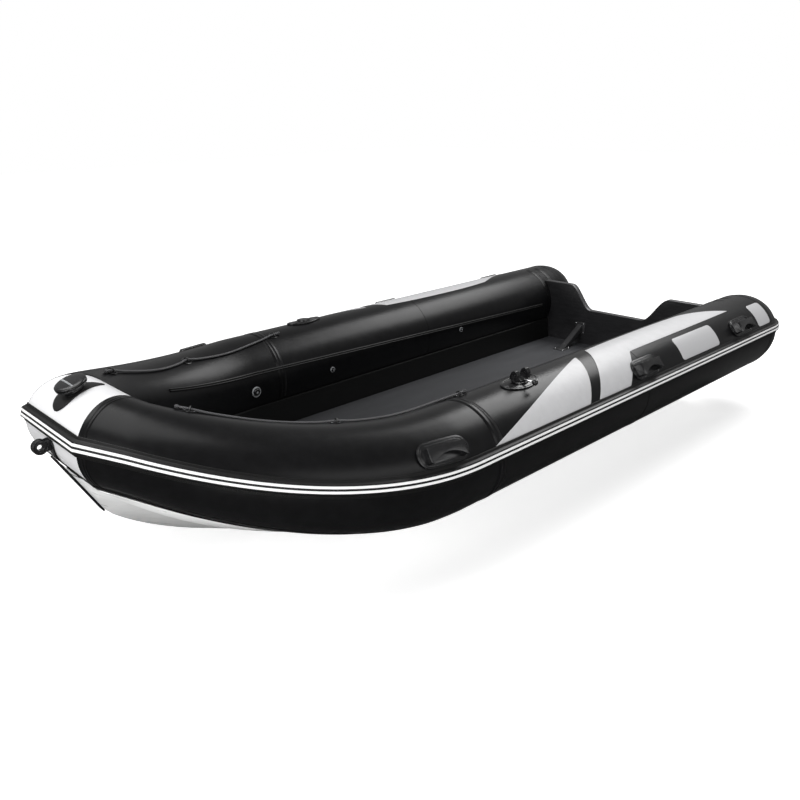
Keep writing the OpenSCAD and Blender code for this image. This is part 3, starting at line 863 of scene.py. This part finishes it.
# ---- operators ----
# each lamp's name, place, width and height, and power
LAMPS = (
    ("stern_box", (-2.1, 0.1, 4.2), (3.6, 2.6), 225),
    ("bow_box", (4.4, -0.4, 3.6), (3.4, 3.0), 130),
    ("port_box", (2.2, 6.5, 3.2), (5.4, 1.6), 85),
    ("stem_box", (8.0, 1.5, 1.6), (3.0, 1.6), 90),
    ("low_box", (5.6, 3.8, 0.3), (2.6, 0.6), 44),
)
SKY_LIGHT = 0.15  # strength of the surround as the boat is lit by it
GLOSSY_SHARE = 0.25  # share of the white surround that glossy surfaces show
AMIDSHIPS = 2.0
FLOOR_GLOW = (0.62, 1.0)  # near the boat and far from it
FLOOR_BOUNCE = (0.95, 0.14)  # the floor as it lights the boat, and as glossy surfaces show it


class BoatOperator(bpy.types.Operator):
    bl_options = {"REGISTER", "UNDO"}

    def execute(self, context):
        self.make()
        return {"FINISHED"}


class StageOperator(BoatOperator):
    """Sets the camera, the soft lamps, the pale floor and the white surround"""

    bl_idname = "boat.stage"
    bl_label = "Stage"

    def make(self):
        z = stage_sizes()
        cam = bpy.data.cameras.new("camera")
        eye = bpy.data.objects.new("camera", cam)
        bpy.context.scene.collection.objects.link(eye)
        cam.sensor_width, cam.lens = 36, z.lens
        cam.shift_x, cam.shift_y = z.shift
        cam.clip_start, cam.clip_end = 0.05, 200
        level = math.cos(z.pitch)
        ahead = Vector((level * math.cos(z.yaw), level * math.sin(z.yaw), math.sin(z.pitch)))
        right = ahead.cross(UP).normalized()
        over = right.cross(ahead)
        c, s = math.cos(z.roll), math.sin(z.roll)
        turned_by = Matrix((c * right + s * over, c * over - s * right, -ahead)).transposed()
        eye.matrix_world = Matrix.Translation(z.place) @ turned_by.to_4x4()
        bpy.context.scene.camera = eye
        self.lamps()
        self.surround()
        self.floor(z.floor)
        bpy.context.scene.view_settings.view_transform = "Standard"

    def lamps(self):
        middle = Vector((AMIDSHIPS, 0, 0.3))
        for name, place, size, power in LAMPS:
            lamp = bpy.data.lights.new(name, "AREA")
            lamp.shape, lamp.size, lamp.size_y, lamp.energy = "RECTANGLE", size[0], size[1], power
            holder = bpy.data.objects.new(name, lamp)
            bpy.context.scene.collection.objects.link(holder)
            holder.visible_camera = False
            holder.location = place
            holder.rotation_euler = (middle - Vector(place)).to_track_quat("-Z", "Y").to_euler()

    def surround(self):
        """A white surround, which lights the boat only a little."""
        world = bpy.data.worlds.new("surround")
        bpy.context.scene.world = world
        world.use_nodes = True
        sky = Nodes(world.node_tree)
        rays = sky.add("ShaderNodeLightPath").outputs
        mirrored = sky.add(
            "ShaderNodeMath", {"operation": "MULTIPLY_ADD"},
            [rays["Is Glossy Ray"], GLOSSY_SHARE, rays["Is Transmission Ray"]],
        ).outputs[0]
        seen = sky.add("ShaderNodeMath", {"operation": "MAXIMUM"}, [rays["Is Camera Ray"], mirrored]).outputs[0]
        lights = [sky.add("ShaderNodeBackground", None, [(1, 1, 1), k]).outputs[0] for k in (SKY_LIGHT, 1.0)]
        both = sky.add("ShaderNodeMixShader", None, [seen, *lights]).outputs[0]
        sky.add("ShaderNodeOutputWorld", None, [both])

    def floor(self, size):
        """A pale floor that glows to the camera, and lights and is mirrored by its own shades."""
        clear()
        bpy.ops.mesh.primitive_grid_add(x_subdivisions=12, y_subdivisions=12, size=size)
        ground = bpy.context.object
        ground.name = "studio_floor"
        ground.data.transform(Matrix.Translation((AMIDSHIPS, 0, FLOOR_LEVEL)))
        f = Finish("floor_paint", roughness=0.9, base_color=(0.8, 0.8, 0.8), specular_ior_level=0.1)
        f.relief((f.noise(f.where(), 30, 3), 0.02, 0.001))
        x, y = (f.part(f.where(), i) for i in (0, 1))
        x = x - AMIDSHIPS
        far = f.ramp((x * x / 30 + y * y / 16) * 0.5, (0.15, 0), (0.6, 1))
        near_glow, far_glow = (
            f.add("ShaderNodeEmission", None, {"Color": (1, 1, 1), "Strength": k}).outputs[0] for k in FLOOR_GLOW
        )
        glow = f.add("ShaderNodeMixShader", None, [far, near_glow, far_glow]).outputs[0]
        seen_floor = f.add("ShaderNodeAddShader", None, [f.shader.outputs[0], glow]).outputs[0]
        rays = f.add("ShaderNodeLightPath").outputs
        shown, mirrored = (
            f.add("ShaderNodeBsdfDiffuse", None, {"Color": (k,) * 3}).outputs[0] for k in FLOOR_BOUNCE
        )
        dull = f.add("ShaderNodeMixShader", None, [rays["Is Glossy Ray"], shown, mirrored]).outputs[0]
        total = f.add("ShaderNodeMixShader", None, [rays["Is Camera Ray"], dull, seen_floor])
        out = next(n for n in f.tree.nodes if n.type == "OUTPUT_MATERIAL")
        f.tree.links.new(total.outputs[0], out.inputs[0])
        ground.data.materials.append(f.material)


def line_route():
    """The grab line's run, angle and lift at each of its points, from fore to aft."""
    thick = fittings().cord
    in_eye, resting = 0.003 + thick / 2 + 0.0015, thick / 2 + 0.002
    route = [(EYES[0][0] + 0.04, EYES[0][1], in_eye)]
    for a, b in zip(EYES, EYES[1:]):
        for i in range(9):
            u = i / 9
            sag = math.sin(math.pi * u)
            lift = mix(in_eye + mix(a[2], b[2], u), resting, min(1, 4 * sag))
            route.append((mix(a[0], b[0], u), mix(a[1], b[1], u) + 9 * sag, lift))
    last = EYES[-1]
    return route + [(last[0], last[1], in_eye), (last[0] - 0.04, last[1], in_eye)]


def rope_rings(points, radius, corners):
    """Rings of points square to a line, each ring turned from the last as little as possible."""
    rings, side = [], None
    for i, p in enumerate(points):
        way = (points[min(i + 1, len(points) - 1)] - points[max(i - 1, 0)]).normalized()
        side = (UP.cross(way) if side is None else side - way * side.dot(way)).normalized()
        over = way.cross(side)
        rings.append([
            p + radius * (math.cos(math.tau * j / corners) * side + math.sin(math.tau * j / corners) * over)
            for j in range(corners)
        ])
    return rings


class GrabLineOperator(BoatOperator):
    """Threads a braided grab line through the eyes on each side"""

    bl_idname = "boat.grab_lines"
    bl_label = "Grab lines"

    def make(self):
        thick = fittings().cord
        for name, side in SIDES:
            corners = [skin(run_at(x), math.radians(a), lift, side) for x, a, lift in line_route()]
            fine = []
            for a, b, c, d in zip([corners[0], *corners], corners, corners[1:], [*corners[2:], corners[-1]]):
                for k in range(6):
                    t = k / 6
                    fine.append(0.5 * (2 * b + (c - a) * t + (2 * a - 5 * b + 4 * c - d) * t * t
                                       + (3 * b - a - 3 * c + d) * t**3))
            fine.append(corners[-1])
            rings = rope_rings(fine, thick / 2, 16)
            rope = laid(
                f"{name}_grab_rope", list(range(len(fine))), list(range(17)), lambda i, j: rings[i][j % 16]
            )
            closed_up(rope, 1e-6)
            smooth(rope, 60)
            knots = []
            for end, inner in ((fine[0], fine[4]), (fine[-1], fine[-5])):
                knot = turned(
                    f"{name}_knot",
                    [(0.0035, -0.009), (0.0085, -0.007), (0.011, -0.003), (0.0085, 0), (0.0105, 0.003),
                     (0.008, 0.007), (0.0035, 0.009)], 24, 0.0012,
                )
                lie = (end - inner).normalized().to_track_quat("Z", "Y").to_matrix().to_4x4()
                knots.append(placed(knot, Matrix.Translation(end) @ lie))
            knot = joined(knots, f"{name}_line_knots")
            finished(knot, "boat", "line_cord", braid())
            finished(rope, "boat", "line_cord", braid(), f"{name}_grab_line")
            length = distances(fine)[-1]


def tape_lifts(ridges):
    """Heights across a tape: thin edges, a flat top and fine ridges on it."""
    t = fittings().tape
    lifts = [(0.0, 0.0002), (0.02, t), (0.98, t), (1.0, 0.0002)]
    for r in ridges:
        lifts += [(r - 0.03, t), (r, t + 0.0007), (r + 0.03, t)]
    return sorted(lifts)


class TubeOperator(BoatOperator):
    """Makes the side tubes and the bow tube with the bands and tapes over their seams"""

    bl_idname = "boat.tubes"
    bl_label = "Tubes"

    def make(self):
        t = tubes()
        round_ = spread(0, math.tau, 96)
        cap = t.tail_cone - t.tail
        tail = [cap - t.tail_cone * math.cos(math.pi / 2 * i / 14) for i in range(14)]
        runs = tail + spread(cap, t.bend_start, 70) + spread(t.bend_start, run_end(), 66)[1:]
        for name, side in SIDES:
            tube = laid(f"{name}_tube_cloth", runs, round_, lambda q, a: skin(q, a, 0, side), tube_middle)
            closed_up(tube, 2e-6)
            smooth(tube, 60)
            finished(tube, "boat", "tube_fabric", tube_cloth(), f"{name}_tube")
            self.bands(name, side)
        bow = laid("bow_tube_cloth", spread(-t.bow_half, t.bow_half, 24), round_, rim)
        closed_up(bow, 2e-6)
        smooth(bow, 60)
        finished(bow, "boat", "bow_fabric", bow_cloth(), "bow_tube")

    def bands(self, name, side):
        t = tubes()
        high = math.radians(BAND_TOP)
        made = [
            band(
                f"{name}_{which}", side, lambda s, a: mix(start, stop, s), math.radians(low), high,
                tape_lifts(ridges),
            )
            for which, start, stop, low, ridges in BANDS
        ]
        made.append(band(
            f"{name}_mitre_tape", side, lambda s, a: run_back(mix(0.036, 0.001, s), a), math.radians(-46), high,
            tape_lifts((0.1, 0.42)),
        ))
        finished(joined(made, f"{name}_seam_tapes"), "boat", "tube_fabric", tube_cloth())
        runs = spread(0.06, t.bend_start, 50) + spread(t.bend_start, run_end() - 0.03, 40)[1:]
        chafe = laid(
            f"{name}_chafe_band", runs, CHAFE_STRIP,
            lambda q, at: skin(q, self.chafe_angle(q, at[0]), at[1], side), tube_middle,
        )
        smooth(chafe, 50)
        finished(chafe, "boat", "tube_fabric", tape_rubber())

    def chafe_angle(self, q, share):
        """The band's angle round the tube, from its seam with the hull to its upper edge."""
        k = fore_part(station(q)[0].x)
        return math.radians(mix(-87 + LIP_CLIMB * k**3, mix(-62, -36, k), share))


def eased(points, share):
    """A place along a row of (x, degrees) points, rounded where it turns."""
    n = len(points) - 1
    at = share * n
    i = min(n - 1, int(at))
    t = at - i
    before, a, b, after = points[max(0, i - 1)], points[i], points[i + 1], points[min(n, i + 2)]
    pull, curved = 0.22, 0.35
    h = t * t * (3 - 2 * t)
    out = []
    for axis in (0, 1):
        m0 = (b[axis] - before[axis]) * pull
        m1 = (after[axis] - a[axis]) * pull
        lin = mix(a[axis], b[axis], t)
        out.append(mix(lin, mix(a[axis] + m0 * t, b[axis] - m1 * (1 - t), h), curved))
    return out


class PatchOperator(BoatOperator):
    """Lays the pale patches on both side tubes"""

    bl_idname = "boat.patches"
    bl_label = "Patches"

    def make(self):
        for name, side in SIDES:
            made = [self.fore(f"{name}_fore_patch", side), self.long(f"{name}_long_patch", side)]
            for piece in made:
                modified(piece, "SOLIDIFY", thickness=fittings().patch, offset=1)
                rounded(piece, fittings().patch * 0.4, 2, 50)
                smooth(piece, 60)
            finished(joined(made, f"{name}_patches"), "boat", "bow_fabric", patch_cloth())

    def fore(self, name, side):
        tip, top, heel = (2.79, 24), (1.85, 91), (2.055, 19)

        def place(s, h):
            back = (mix(heel[0], top[0], h) - 0.008 * math.sin(math.pi * h), mix(heel[1], top[1], h))
            front = (mix(tip[0], top[0], h), mix(tip[1], top[1], h))
            x, a = mix(back[0], front[0], s), mix(back[1], front[1], s)
            return skin(run_at(x), math.radians(a), 0.0004, side)

        return self.sheet(name, spread(0, 1, 60), spread(0, 0.985, 48), place)

    def long(self, name, side):
        lower = [
            (1.955, 24), (1.69, 22.5), (1.655, 24), (1.5, 63), (1.45, 65.5), (1.1, 66), (0.75, 66.5),
            (0.283, 67.6),
        ]
        upper = [
            (1.695, 100), (1.5, 103), (1.4, 104), (1.3, 104.5), (1.15, 105), (0.95, 105), (0.65, 101),
            (0.283, 68.2),
        ]

        def place(s, h):
            a, b = eased(lower, s), eased(upper, s)
            x, degrees = mix(a[0], b[0], h), mix(a[1], b[1], h)
            return skin(run_at(x), math.radians(degrees), 0.0004, side)

        return self.sheet(name, spread(0, 1, 140), spread(0, 1, 36), place)

    def sheet(self, name, along, across, place):
        sheet = laid(name, along, across, place, tube_middle)
        merged(sheet, 1e-5)
        return sheet


def rim_runs(reach):
    """Runs round the whole boat, closer together round the bow."""
    half = tubes().bow_half
    bend = BEND_RUN + half
    one = spread(0, half, 6) + spread(half, bend, 60)[1:] + spread(bend, reach, 56)[1:]
    return [-r for r in reversed(one[1:])] + one


def on_rim(run, height, out):
    height -= fittings().strake_fall * rim_fore_part(run) ** 2
    return rim(run, math.asin(height / rim_radius(run)), 0.0005 + out)


class StrakeOperator(BoatOperator):
    """Runs the ribbed rubbing strake and its two pale lines round the boat"""

    bl_idname = "boat.strake"
    bl_label = "Rubbing strake"

    def make(self):
        z, t = fittings(), tubes()
        mm = 0.001
        half = [
            (38, 0.3), (38, 4), (36.8, 5.2), (34.8, 5.4), (34, 4.2), (32.8, 4.2), (32, 6), (30, 6.2), (29.2, 5),
            (28, 5), (27.2, 7), (24.4, 8.6), (22.6, 10.6), (20.8, 16.6), (19.4, 19), (17.2, 20),
        ]
        outline = [(h * mm, o * mm) for h, o in half] + [(-h * mm, o * mm) for h, o in reversed(half)]
        outline += [(-0.018, 0.0), (0.0, 0.0), (0.018, 0.0)]
        reach = run_end() + 0.3146 + t.bow_half

        def place(run, h, o):
            return on_rim(run, z.strake_up + h, o)

        strake = swept("strake_rubber_strip", rim_runs(reach), outline, place)
        smooth(strake, 38)
        finished(strake, "boat", "strake_rubber", strake_rubber(), "rub_strake")
        lines = []
        for low, high in ((0.0042, 0.0138), (-0.0138, -0.0042)):
            stripe = [
                (high, 0.0196), (high, 0.0204), (high - 0.0008, 0.0209), (low + 0.0008, 0.0209), (low, 0.0204),
                (low, 0.0196),
            ]
            lines.append(swept("line", rim_runs(reach - 0.004), stripe, place))
            smooth(lines[-1], 60)
        finished(joined(lines, "strake_lines"), "boat", "strake_rubber", line_rubber())


class HullOperator(BoatOperator):
    """Smooths the hull and adds its lining, its seals and the strip that guards its stem"""

    bl_idname = "boat.hull"
    bl_label = "Hull"

    def make(self):
        hull = copied("hull", "hull_shell", flat=0)
        smooth(hull, 28)
        finished(hull, "boat", "hull_white", gelcoat(), "hull")
        guard = copied("keel_guard", "stem_guard")
        top = max(v.co.z for v in guard.data.vertices)
        up_the_stem = (0.0214, 0, 0.0396)
        slide(guard, up_the_stem, lambda at: at.z > top - 0.01)
        rounded(guard, 0.0025, 3)
        smooth(guard)
        finished(guard, "boat", "black_fittings", strake_rubber(), "keel_guard")
        self.line(hull)
        half = tubes().bow_half
        runs = spread(0.024, half, 6) + spread(half, half + BEND_RUN, 50)[1:]
        runs += spread(half + BEND_RUN, half + run_end() - 0.06, 30)[1:]
        outline = [(0, 0.0006), (0, 0.009), (1, 0.0105), (5.2, 0.007), (6.2, 0.0006)]
        for name, side in SIDES:

            def place(run, h, o):
                k = rim_fore_part(run)
                a = -87.6 + LIP_CLIMB * k**3 + h * mix(0.45, 1.9, k)
                return rim(side * run, math.radians(a), o)

            seal = swept(f"{name}_hull_seal", runs, outline, place)
            smooth(seal, 40)
            finished(seal, "boat", "black_fittings", tape_rubber())

    def line(self, hull):
        """Gives the faces that show inside the boat their dark lining."""
        hull.data.materials.append(tape_rubber())
        for face in hull.data.polygons:
            n = face.normal
            inward = n.y * math.copysign(1, face.center.y) < -0.3
            if n.z > 0.3 or inward or (n.x < -0.5 and face.center.x > 1):
                face.material_index = 1


class DeckOperator(BoatOperator):
    """Paints the deck and lays the seat tracks along the tubes"""

    bl_idname = "boat.deck"
    bl_label = "Deck"

    def make(self):
        deck = copied("deck", "deck_board", flat=0.3)
        smooth(deck, 30)
        finished(deck, "boat", "deck_grey", deck_paint(), "deck")
        t = tubes()
        last = t.bend_start + 13 / 22 * BEND_RUN
        runs = spread(0.17, t.bend_start, 30) + spread(t.bend_start, last, 24)[1:]
        half = [(2.6, 0), (2.6, 1.6), (2.0, 2.2), (1.8, 8), (1.3, 9.2), (0.8, 8), (0.6, 3)]
        outline = [(-h, o) for h, o in half] + half[::-1]
        for name, side in SIDES:

            def place(q, h, o):
                a = mix(178, 157, station(q)[0].x / 3.2)
                return skin(q, math.radians(a + h), 0.0005 + o * 0.001, side)

            track = swept(f"{name}_seat_rail", runs, outline, place)
            smooth(track, 40)
            finished(track, "boat", "black_fittings", strake_rubber(), f"{name}_seat_track")


class TransomOperator(BoatOperator):
    """Makes the transom with its edge strip, drains, braces and screws"""

    bl_idname = "boat.transom"
    bl_label = "Transom"

    def make(self):
        board = copied("transom", "transom_board", 0.003, 3, 50)
        finished(board, "boat", "transom_black", transom_paint(), "transom")
        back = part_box("transom")[1].x
        notch, shoulder, rise = 0.217, 0.41, 0.18
        top = tubes().height
        reach = tubes().half_beam - math.sqrt(tubes().radius**2 - rise**2) - 0.001
        half = [(y, top) for y in spread(0, notch, 6)]
        for u in spread(0, 1, 16)[1:]:
            half.append((mix(notch, shoulder, u), top + rise * u * u * (3 - 2 * u)))
        half += [(y, top + rise) for y in spread(shoulder, reach, 6)[1:]]
        way = [(-y, z) for y, z in reversed(half[1:])] + half
        cap = [
            (-0.0015, -0.007), (-0.0015, 0.0012), (0.0002, 0.0026), (back - 0.0002, 0.0026),
            (back + 0.0015, 0.0012), (back + 0.0015, -0.004),
        ]

        def place(i, spot):
            a, b = way[max(0, i - 1)], way[min(len(way) - 1, i + 1)]
            n = Vector((0, -(b[1] - a[1]), b[0] - a[0])).normalized()
            return Vector((spot[0], way[i][0], way[i][1])) + n * spot[1]

        strip = laid("transom_edge_strip", range(len(way)), cap, place, lambda p: Vector((0.02, p.y, 0)))
        modified(strip, "SOLIDIFY", thickness=0.0012, offset=-1)
        smooth(strip, 40)
        finished(strip, "boat", "brace_metal", brace_coat())
        drains = copied("transom_drains", "drain_sleeves", 0.0012, 2)
        finished(drains, "boat", "black_fittings", moulded(), "transom_drains")
        for name, _ in SIDES:
            brace = copied(f"{name}_brace", f"{name}_knee_bar", 0.0022, 2)
            finished(brace, "boat", "brace_metal", brace_coat(), f"{name}_brace")
            lo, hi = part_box(f"{name}_brace")
            plate, across = 0.004, [(lo.y + hi.y) / 2 + dy for dy in (-0.033, 0.033)]
            upright = Matrix.Rotation(math.pi / 2, 4, "Y")
            flats = [(x, y, lo.z + plate) for x in (hi.x - 0.014, hi.x - 0.094) for y in across]
            walls = [(lo.x + plate, y, z) for z in (hi.z - 0.013, hi.z - 0.08) for y in across]
            screws = [placed(bolt("screw"), Matrix.Translation(at)) for at in flats]
            screws += [placed(bolt("screw"), Matrix.Translation(at) @ upright) for at in walls]
            finished(joined(screws, f"{name}_brace_screws"), "boat", "brace_metal", bright_metal())


def bead(name, outline, width, height, drop):
    """A low ridge along a closed outline, on a pad whose sag across is drop(y)."""
    n = len(outline)
    profile = [(-1, -0.3), (-0.75, 0.6), (0, 1), (0.75, 0.6), (1, -0.3)]

    def place(i, step):
        a, b = Vector(outline[(i - 1) % n]), Vector(outline[(i + 1) % n])
        way = (b - a).normalized()
        p = Vector(outline[i % n]) + Vector((way.y, -way.x)) * step[0] * width / 2
        return Vector((p.x, p.y, drop(p.y) + step[1] * height))

    ridge = laid(name, range(n + 1), profile, place, lambda p: p - UP)
    merged(ridge, 1e-6)
    smooth(ridge, 60)
    return ridge


def pad_rim(outline, width, height, where):
    """The raised line near the edge of a pad that is bent round the tube."""
    r = tubes().radius
    line = bead("rim", outline, width, height, lambda y: PAD_THICK - (r - math.sqrt(r * r - y * y)))
    return placed(line, where)


def stadium(length, width, steps=14):
    r = width / 2
    points = []
    for end in (1, -1):
        for i in range(steps + 1):
            a = math.pi * i / steps - math.pi / 2
            points.append((end * (length / 2 - r + r * math.cos(a)), end * r * math.sin(a)))
    return points


def oval(length, width, steps=56):
    angles = [math.tau * i / steps for i in range(steps)]
    return [(length / 2 * math.cos(a), width / 2 * math.sin(a)) for a in angles]


class HandleOperator(BoatOperator):
    """Makes the six carrying handles"""

    bl_idname = "boat.handles"
    bl_label = "Carrying handles"

    def make(self):
        length, width = HANDLE_BASE
        for name, side in SIDES:
            for which, x in HANDLES:
                node = f"{name}_{which}_handle"
                grip = copied(node, f"{node}_moulding", 0.0022, 3, 30)
                place = on_tube(x, HANDLE_ANGLE, side)
                rims = [
                    pad_rim(stadium(length - 2 * inset, width - 2 * inset), 0.005, height, place)
                    for inset, height in ((0.008, 0.0022), (0.018, 0.0012))
                ]
                finished(grip, "boat", "black_fittings", moulded(), node)
                finished(joined(rims, f"{node}_rims"), "boat", "black_fittings", moulded())


class RowlockOperator(BoatOperator):
    """Makes the rowlock pads and the fork that turns on the port one"""

    bl_idname = "boat.rowlocks"
    bl_label = "Rowlocks"

    def make(self):
        length, width = ROWLOCK_PAD
        for name, side in SIDES:
            pad = copied(f"{name}_rowlock_pad", f"{name}_rowlock_plate", 0.0015, 2)
            finished(pad, "boat", "black_fittings", moulded(), f"{name}_rowlock_pad")
            edge = pad_rim(oval(length - 0.016, width - 0.016), 0.006, 0.003, on_tube(*ROWLOCK, side))
            finished(joined([edge], f"{name}_rowlock_rim"), "boat", "black_fittings", moulded())
        fork = copied("port_rowlock", "port_rowlock_fork", 0.0016, 2)
        finished(fork, "port_rowlock", "black_fittings", moulded(), "port_rowlock")
        sleeve = turned("sleeve", [(0.0046, 0), (0.0052, 0.001), (0.0052, 0.043), (0.0046, 0.044)], 24)
        tilt = Matrix.Translation((0, 0.0275, 0.0240)) @ Matrix.Rotation(math.radians(-84), 4, "X")
        placed(sleeve, on_tube(*ROWLOCK) @ tilt)
        finished(joined([sleeve], "port_rowlock_stalk"), "port_rowlock", "brace_metal", bright_metal())


class LineEyeOperator(BoatOperator):
    """Makes the eyes that hold the grab lines"""

    bl_idname = "boat.line_eyes"
    bl_label = "Line eyes"

    def make(self):
        for name, side in SIDES:
            eyes = copied(f"{name}_line_eyes", f"{name}_line_saddles", 0.0008, 2)
            finished(eyes, "boat", "black_fittings", moulded(), f"{name}_line_eyes")
            studs = []
            for x, a, lift in EYES:
                place = on_tube(x, a, side, 0.0003 + lift)
                for dx in (-0.019, 0.019):
                    studs.append(placed(bolt("stud", 0.006), place @ Matrix.Translation((dx, 0, 0.0024))))
            finished(joined(studs, f"{name}_eye_studs"), "boat", "brace_metal", bright_metal())


class BowFittingOperator(BoatOperator):
    """Makes the bollard on its pad and the towing eye"""

    bl_idname = "boat.bow_fittings"
    bl_label = "Bow fittings"

    def make(self):
        pad = copied("bollard_pad", "bollard_foot", 0.0016, 2)
        finished(pad, "boat", "black_fittings", pad_rubber(), "bollard_pad")
        eye = copied("towing_eye", "towing_ring", 0.0035, 3)
        finished(eye, "boat", "black_fittings", moulded(), "towing_eye")
        rims = []
        for x in (-0.0105, 0.0105):
            for big, small in ((0.0298, 0.0024), (0.0155, 0.0022)):
                clear()
                bpy.ops.mesh.primitive_torus_add(
                    major_radius=big, minor_radius=small, major_segments=56, minor_segments=10
                )
                rims.append(bpy.context.object)
                where = Matrix.Translation((x, 0, 0.046)) @ Matrix.Rotation(math.pi / 2, 4, "Y")
                smooth(placed(rims[-1], on_bow(TOWING_ANGLE) @ where), 60)
        finished(joined(rims, "towing_ring_rims"), "boat", "black_fittings", moulded())
        d = fittings().bollard / 2
        steps = [
            (0.036, -0.004), (0.045, 0.003), (0.045, 0.006), (0.039, 0.009), (0.0385, 0.013), (0.041, 0.0155),
            (0.041, 0.018), (0.0385, 0.0205), (0.0385, 0.025), (0.058, 0.0252), (0.067, 0.028),
            (d - 0.002, 0.031),
            (d, 0.0335), (d, 0.0345), (d - 0.0035, 0.0355), (d - 0.0035, 0.0372), (d, 0.0382), (d, 0.0405),
            (d - 0.002, 0.0435), (d - 0.007, 0.0465), (d - 0.018, 0.0483), (0.03, 0.0492), (0.004, 0.0495),
        ]
        post = turned("bollard_post", steps, 72)
        placed(post, on_bow(BOLLARD_ANGLE))
        bumps = []
        for i in range(-5, 6):
            x = i * 0.0105
            knob = turned("bump", [(0.0046, 0), (0.0044, 0.0014), (0.0032, 0.0028), (0.0012, 0.0034)], 14)
            z = 0.049 - 0.0010 * (x / 0.03) ** 2
            bumps.append(placed(knob, on_bow(BOLLARD_ANGLE) @ Matrix.Translation((x, -0.012, z))))
        finished(post, "boat", "black_fittings", moulded(), "bollard")
        # the studs take the paler valve plastic, partly as real studs and partly as a painted highlight, so the
        # row shows as light specks on the black cap
        finished(joined(bumps, "bollard_studs"), "boat", "black_fittings", valve_plastic())


class PlateOperator(BoatOperator):
    """Lays the blank plates on the tubes"""

    bl_idname = "boat.plates"
    bl_label = "Blank plates"

    def make(self):
        corner = 0.022
        for name, side in SIDES:
            for which, x, a, size in PLATES:
                node = f"{name}_{which}_plate"
                half = (size[0] / 2, size[1] / 2)

                def place(u, v):
                    px, py = u * half[0], v * half[1]
                    kx, ky = (abs(px) - half[0] + corner) / corner, (abs(py) - half[1] + corner) / corner
                    if kx > 0 and ky > 0:
                        gx, gy = kx * math.sqrt(1 - ky * ky / 2), ky * math.sqrt(1 - kx * kx / 2)
                        px = math.copysign(half[0] - corner + gx * corner, px)
                        py = math.copysign(half[1] - corner + gy * corner, py)
                    return skin(x + px, math.radians(a) - py / tubes().radius, 0.0004, side)

                rows = []
                for long, inner in zip(size, (24, 16)):
                    e = 1 - 2 * corner / long
                    rows.append(spread(-1, -e, 6)[:-1] + spread(-e, e, inner) + spread(e, 1, 6)[1:])
                plate = laid(f"{node}_sheet", *rows, place, tube_middle)
                modified(plate, "SOLIDIFY", thickness=0.0016, offset=1)
                rounded(plate, 0.0006, 2, 50)
                smooth(plate, 50)
                finished(plate, "boat", "plate_light", plate_sheet(), node)


class ValveOperator(BoatOperator):
    """Makes the inflation valves on the inner sides of the tubes"""

    bl_idname = "boat.valves"
    bl_label = "Valves"

    def make(self):
        for name, side in SIDES:
            rings, caps = [], []
            for i, (x, a) in enumerate(VALVES):
                k, off = (1.0, 0.0009) if i == 0 else (0.55, 0.0003)
                r = 0.032 * k
                seat = on_tube(x, a, side, off)

                def piece(name, steps, corners):
                    return turned(name, [(r * across, up) for across, up in steps], corners)

                ring = ((1, -0.003), (1, 0.003), (0.96, 0.005), (0.84, 0.0056), (0.78, 0.0052), (0.74, 0.001))
                button = ((0.22, 0.008), (0.22, 0.0118), (0.17, 0.0126), (0.03, 0.0128))
                lid = (
                    (0.77, 0.001), (0.7, 0.0022), (0.66, 0.0022), (0.64, 0.0085), (0.58, 0.0108), (0.3, 0.0112),
                    (0.26, 0.0092), (0.03, 0.0092),
                )
                rings += [placed(piece("ring", ring, 48), seat), placed(piece("button", button, 32), seat)]
                cap = [piece("cap", lid, 48)]
                for j in range(12):
                    b = math.tau * j / 12
                    rib = turned("rib", [(0.0016 * k, 0), (0.0014 * k, 0.002), (0.0006 * k, 0.0026)], 10)
                    spot = (r * 0.45 * math.cos(b), r * 0.45 * math.sin(b), 0.0104)
                    cap.append(placed(rib, Matrix.Translation(spot)))
                caps.append(placed(joined(cap, "cap"), seat))
            finished(joined(rings, f"{name}_valve_rings"), "boat", "valve_grey", valve_plastic(), f"{name}_valves")
            finished(joined(caps, f"{name}_valve_caps"), "boat", "black_fittings", moulded())


GROUPS = (TubeSizes, FittingSizes, Colours, StageSizes)
OPERATORS = (
    StageOperator, GrabLineOperator, TubeOperator, PatchOperator, StrakeOperator, HullOperator, DeckOperator,
    TransomOperator, HandleOperator, RowlockOperator, LineEyeOperator, BowFittingOperator, PlateOperator,
    ValveOperator,
)


class BoatPanel(bpy.types.Panel):
    """Lists the boat's pieces, its sizes and its colours"""

    bl_idname = "VIEW3D_PT_boat"
    bl_label = "Rigid inflatable boat"
    bl_space_type = "VIEW_3D"
    bl_region_type = "UI"
    bl_category = "Boat"

    def draw(self, context):
        for operator in OPERATORS:
            self.layout.operator(operator.bl_idname)
        for title, group in (
            ("Tubes", tubes()), ("Fittings", fittings()), ("Colours", colours()), ("Stage", stage_sizes()),
        ):
            box = self.layout.box()
            box.label(text=title)
            for name in group.__annotations__:
                box.prop(group, name)


def register():
    for kind in (*GROUPS, *OPERATORS, BoatPanel):
        bpy.utils.register_class(kind)
    scene = bpy.types.Scene
    scene.boat_tubes = bpy.props.PointerProperty(type=TubeSizes)
    scene.boat_fittings = bpy.props.PointerProperty(type=FittingSizes)
    scene.boat_colours = bpy.props.PointerProperty(type=Colours)
    scene.boat_stage = bpy.props.PointerProperty(type=StageSizes)


def unregister():
    scene = bpy.types.Scene
    del scene.boat_tubes, scene.boat_fittings, scene.boat_colours, scene.boat_stage
    for kind in reversed((*GROUPS, *OPERATORS, BoatPanel)):
        bpy.utils.unregister_class(kind)


def main():
    register()
    for operator in OPERATORS:
        group, name = operator.bl_idname.split(".")
        getattr(getattr(bpy.ops, group), name)()
    clear()


if __name__ == "__main__":
    main()
